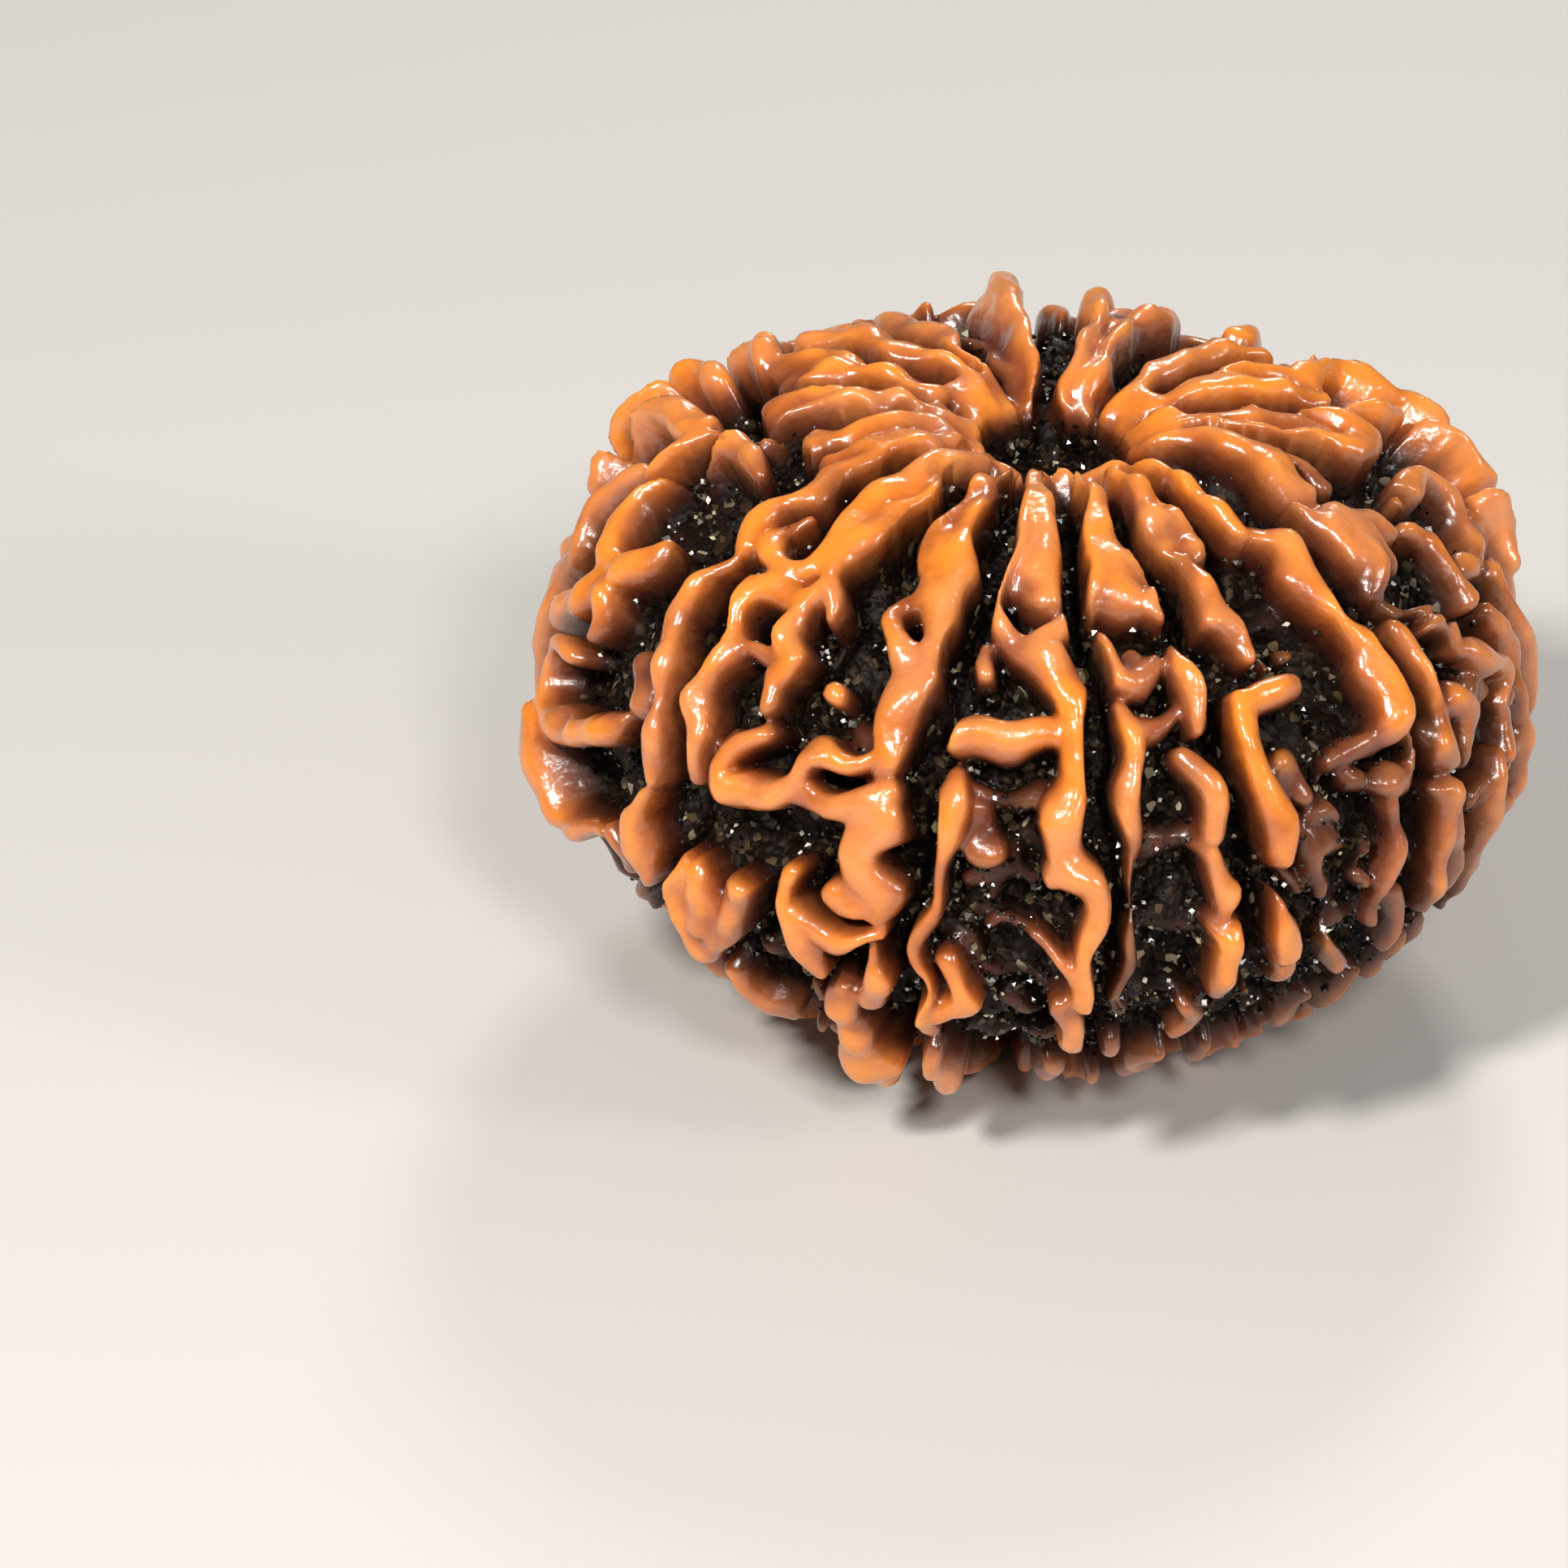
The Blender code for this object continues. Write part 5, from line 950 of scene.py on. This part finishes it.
def stone_material():
    """Oiled ridges, brown down their walls, over a black bed of gravel; the darkening into the pits
    is partly painted shade, the lighter crests partly painted light.
    """
    material, tree, shader = new_material("oiled_stone", STONE_FINISH)
    place = node(tree, "ShaderNodeTexCoord").outputs["Object"]
    height = attribute(tree, "height")
    crest = attribute(tree, "crest")
    grain = noise(tree, place, GRAIN_SCALE, detail=4.0, roughness=0.62)
    dimples = noise(tree, place, DIMPLE_SCALE, detail=2.0)
    blotch = math_node(tree, "SUBTRACT", noise(tree, place, BLOTCH_SCALE), 0.5)
    uneven = math_node(tree, "MULTIPLY", blotch, BLOTCH_STRENGTH)
    # Colour darkens with the height attribute, down the walls and into the pits: partly the seed's
    # own colour, partly painted shade
    tone = math_node(tree, "ADD", height, uneven, clamp=True)
    blush = share_ramp(tree, noise(tree, place, BLUSH_SCALE), BLUSH_SHARES)
    skin = mixed(tree, blush, ramp(tree, tone, SKIN_STOPS), ramp(tree, tone, PINK_STOPS))
    # Lighter crest colour in patches on convex, outward-facing crests: partly the seed's own ridge
    # tops and wear, partly painted light
    wear_and_light_patches = share_ramp(tree, noise(tree, place, WEAR_AND_LIGHT_SCALE), WEAR_AND_LIGHT_SHARES)
    worn_and_lit = mixed(tree, math_node(tree, "MULTIPLY", crest, wear_and_light_patches), skin, CREST_COLOUR)
    gravel_colour, gravel_height = gravel(tree, place)
    bed = share_ramp(tree, tone, BED_SHARES)
    tree.links.new(mixed(tree, bed, worn_and_lit, gravel_colour), shader.inputs["Base Color"])
    tree.links.new(share_ramp(tree, height, GLOSS_SHARES), shader.inputs["Coat Weight"])
    bump = node(tree, "ShaderNodeBump")
    set_inputs(bump, SKIN_BUMP)
    relief_of_skin = math_node(tree, "ADD", math_node(tree, "MULTIPLY", grain, GRAIN_BUMP),
                               math_node(tree, "MULTIPLY", dimples, DIMPLE_BUMP))
    relief_of_bed = math_node(tree, "MULTIPLY", gravel_height, bed)
    tree.links.new(math_node(tree, "ADD", relief_of_skin, relief_of_bed), bump.inputs["Height"])
    tree.links.new(bump.outputs["Normal"], shader.inputs["Normal"])
    tree.links.new(bump.outputs["Normal"], shader.inputs["Coat Normal"])
    return material


def grain_material(name, finish, stops):
    """Wet grains, each of one colour by its tint."""
    material, tree, shader = new_material(name, finish)
    tree.links.new(ramp(tree, attribute(tree, "tint"), stops), shader.inputs["Base Color"])
    return material


def steepness(mesh, shift):
    """How far each vertex's normal turns from the stone's overall surface: 0 along it, 1 across."""
    outward = rows_of(mesh.vertices) - shift - np.array([0.0, 0.0, REST_DEPTH])
    outward[:, 2] *= SQUATNESS
    outward /= np.linalg.norm(outward, axis=1)[:, None]
    return 1 - np.clip((rows_of(mesh.vertex_normals, "vector") * outward).sum(axis=1), 0.0, 1.0)


def colour_stone(stone, shift):
    """Gives the stone its material. Returns each vertex's depth and the depth around it."""
    mesh = stone.data
    depth = profile_depth(upright(rows_of(mesh.vertices) - shift))
    height = 1 - np.clip(depth / RELIEF_DEPTH, 0.0, 1.0)
    around = spread_over(mesh, depth, CREST_ROUNDS)
    crest = np.clip((around - depth) / CREST_RISE, 0.0, 1.0)
    # Steep walls are painted darker through the height attribute: painted shade
    steep = spread_over(mesh, steepness(mesh, shift), STEEP_ROUNDS)
    add_attribute(mesh, "height", np.clip(height - STEEP_SHADE * steep, 0.0, 1.0))
    # Crests count where convex, high and facing outward: the lighter crest colour there is partly
    # the seed's own, partly painted light
    high = np.clip(height * CREST_HEIGHT_GAIN - CREST_HEIGHT_START, 0.0, 1.0)
    crest *= high * np.clip(1 - steep, 0.0, 1.0)
    add_attribute(mesh, "crest", crest)
    mesh.materials.clear()
    mesh.materials.append(stone_material())
    return depth, around


def grain_shape(faces):
    """Corners and faces of a regular solid with the given number of faces, 8 or 20."""
    shape = bmesh.new()
    if faces == 8:
        bmesh.ops.create_cone(shape, segments=4, radius1=1.0, radius2=0.0, depth=1.0)
        bmesh.ops.delete(shape, geom=[face for face in shape.faces if len(face.verts) == 4],
                         context="FACES_ONLY")
        bmesh.ops.translate(shape, verts=shape.verts, vec=(0.0, 0.0, 0.5))
        bmesh.ops.mirror(shape, geom=shape.verts[:] + shape.edges[:] + shape.faces[:],
                         axis="Z", merge_dist=1e-4)
    else:
        bmesh.ops.create_icosphere(shape, subdivisions=1, radius=1.0)
    bmesh.ops.recalc_face_normals(shape, faces=shape.faces)
    shape.verts.index_update()
    corners = np.array([vertex.co[:] for vertex in shape.verts])
    rings = np.array([[vertex.index for vertex in face.verts] for face in shape.faces])
    shape.free()
    return corners, rings


def build_grains(name, stone, allowed, count, faces, radii, material):
    """Angular grains strewn over the allowed vertices of the stone, half bedded in it."""
    points = rows_of(stone.data.vertices)
    normals = rows_of(stone.data.vertex_normals, "vector")
    chance = np.random.default_rng(SEED + faces)
    chosen = chance.choice(np.nonzero(allowed)[0], count)
    corners, rings = grain_shape(faces)
    radius = chance.uniform(*radii, count)[:, None, None] * MM
    stretch = chance.uniform(*GRAIN_STRETCH, (count, 1, 3))
    ragged = chance.uniform(*GRAIN_RAGGEDNESS, (count, len(corners), 1))
    turns, _ = np.linalg.qr(chance.normal(size=(count, 3, 3)))
    turns[np.linalg.det(turns) < 0] *= -1
    sideways = chance.normal(size=(count, 3)) * GRAIN_SCATTER
    middles = points[chosen] + normals[chosen] * radius[:, 0] * GRAIN_RISE + sideways
    places = middles[:, None] + (corners * stretch * ragged * radius) @ turns
    every = rings[None] + np.arange(count)[:, None, None] * len(corners)
    mesh = bpy.data.meshes.new(name)
    mesh.from_pydata(places.reshape(-1, 3), [], every.reshape(-1, 3).tolist())
    # Tints vary at random and run higher in clusters; the palest sand tints are painted glints
    cluster = np.clip(waves(chance, middles, CLUSTER_LENGTH), -1.0, 1.0)
    tint = chance.uniform(0, 1, count) * (1.0 - CLUSTER_SHARE + CLUSTER_SHARE * cluster)
    add_attribute(mesh, "tint", np.repeat(tint, len(corners)))
    mesh.materials.append(material)
    return link(bpy.data.objects.new(name, mesh))


def add_camera(shift):
    """A camera that looks down on the stone and frames it as the photograph does."""
    forward = Vector((0.0, math.cos(ELEVATION), -math.sin(ELEVATION)))
    up = Vector((0.0, math.sin(ELEVATION), math.cos(ELEVATION)))
    right = Vector((1.0, 0.0, 0.0))
    across = (AXIS_PIXEL[0] - IMAGE_SIZE / 2) / PIXELS_PER_MM * MM
    above = (IMAGE_SIZE / 2 - AXIS_PIXEL[1]) / PIXELS_PER_MM * MM
    centre = Vector((shift[0], shift[1], REST_DEPTH))
    place = centre - forward * DISTANCE - right * across - up * above
    data = bpy.data.cameras.new("camera")
    data.sensor_width = SENSOR
    data.lens = PIXELS_PER_MM / MM * DISTANCE / IMAGE_SIZE * SENSOR
    data.clip_start = 1 * MM
    camera = link(bpy.data.objects.new("camera", data))
    turned = Matrix((right, up, -forward)).transposed().to_4x4()
    camera.matrix_world = Matrix.Translation(place) @ turned
    bpy.context.scene.camera = camera


def add_light(name, place, size, power, colour):
    """A round soft light aimed at the stone."""
    data = bpy.data.lights.new(name, "AREA")
    data.shape = "DISK"
    data.size = size
    data.energy = power
    data.color = colour
    light = link(bpy.data.objects.new(name, data))
    light.location = place
    aim = Vector((0.0, 0.0, 0.5 * REST_DEPTH)) - Vector(place)
    light.rotation_euler = aim.to_track_quat("-Z", "Y").to_euler()


def add_studio():
    """Soft lights, a pale sky and a plain floor."""
    for light in LIGHTS:
        add_light(*light)
    world = bpy.data.worlds.new("studio")
    world.use_nodes = True
    set_inputs(world.node_tree.nodes["Background"], SKY)
    bpy.context.scene.world = world
    shape = bmesh.new()
    bmesh.ops.create_circle(shape, cap_ends=True, segments=96, radius=FLOOR_RADIUS)
    mesh = bpy.data.meshes.new("floor")
    shape.to_mesh(mesh)
    shape.free()
    mesh.materials.append(new_material("pale_floor", FLOOR_FINISH)[0])
    floor = link(bpy.data.objects.new("floor", mesh))
    floor.location = (0.0, 0.0, -FLOOR_GAP)


stone, shift = build_stone()
depth, around = colour_stone(stone, shift)
points = rows_of(stone.data.vertices)
in_pits = (depth > PIT_DEPTH) & (points[:, 2] > LOWEST_GRAIN)
sand = build_grains("pit_sand", stone, in_pits, SAND_COUNT, SAND_FACES, SAND_RADIUS,
                    grain_material("wet_sand", SAND_FINISH, SAND_STOPS))
crumbs = build_grains("pit_crumbs", stone, in_pits & (depth > around), CRUMB_COUNT, CRUMB_FACES,
                      CRUMB_RADIUS, grain_material("crumbs", CRUMB_FINISH, CRUMB_STOPS))
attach(stone, "root")
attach(sand, "root")
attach(crumbs, "root")
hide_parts("rudraksha_stone")
add_camera(shift)
add_studio()
bpy.context.scene.view_settings.view_transform = "Standard"
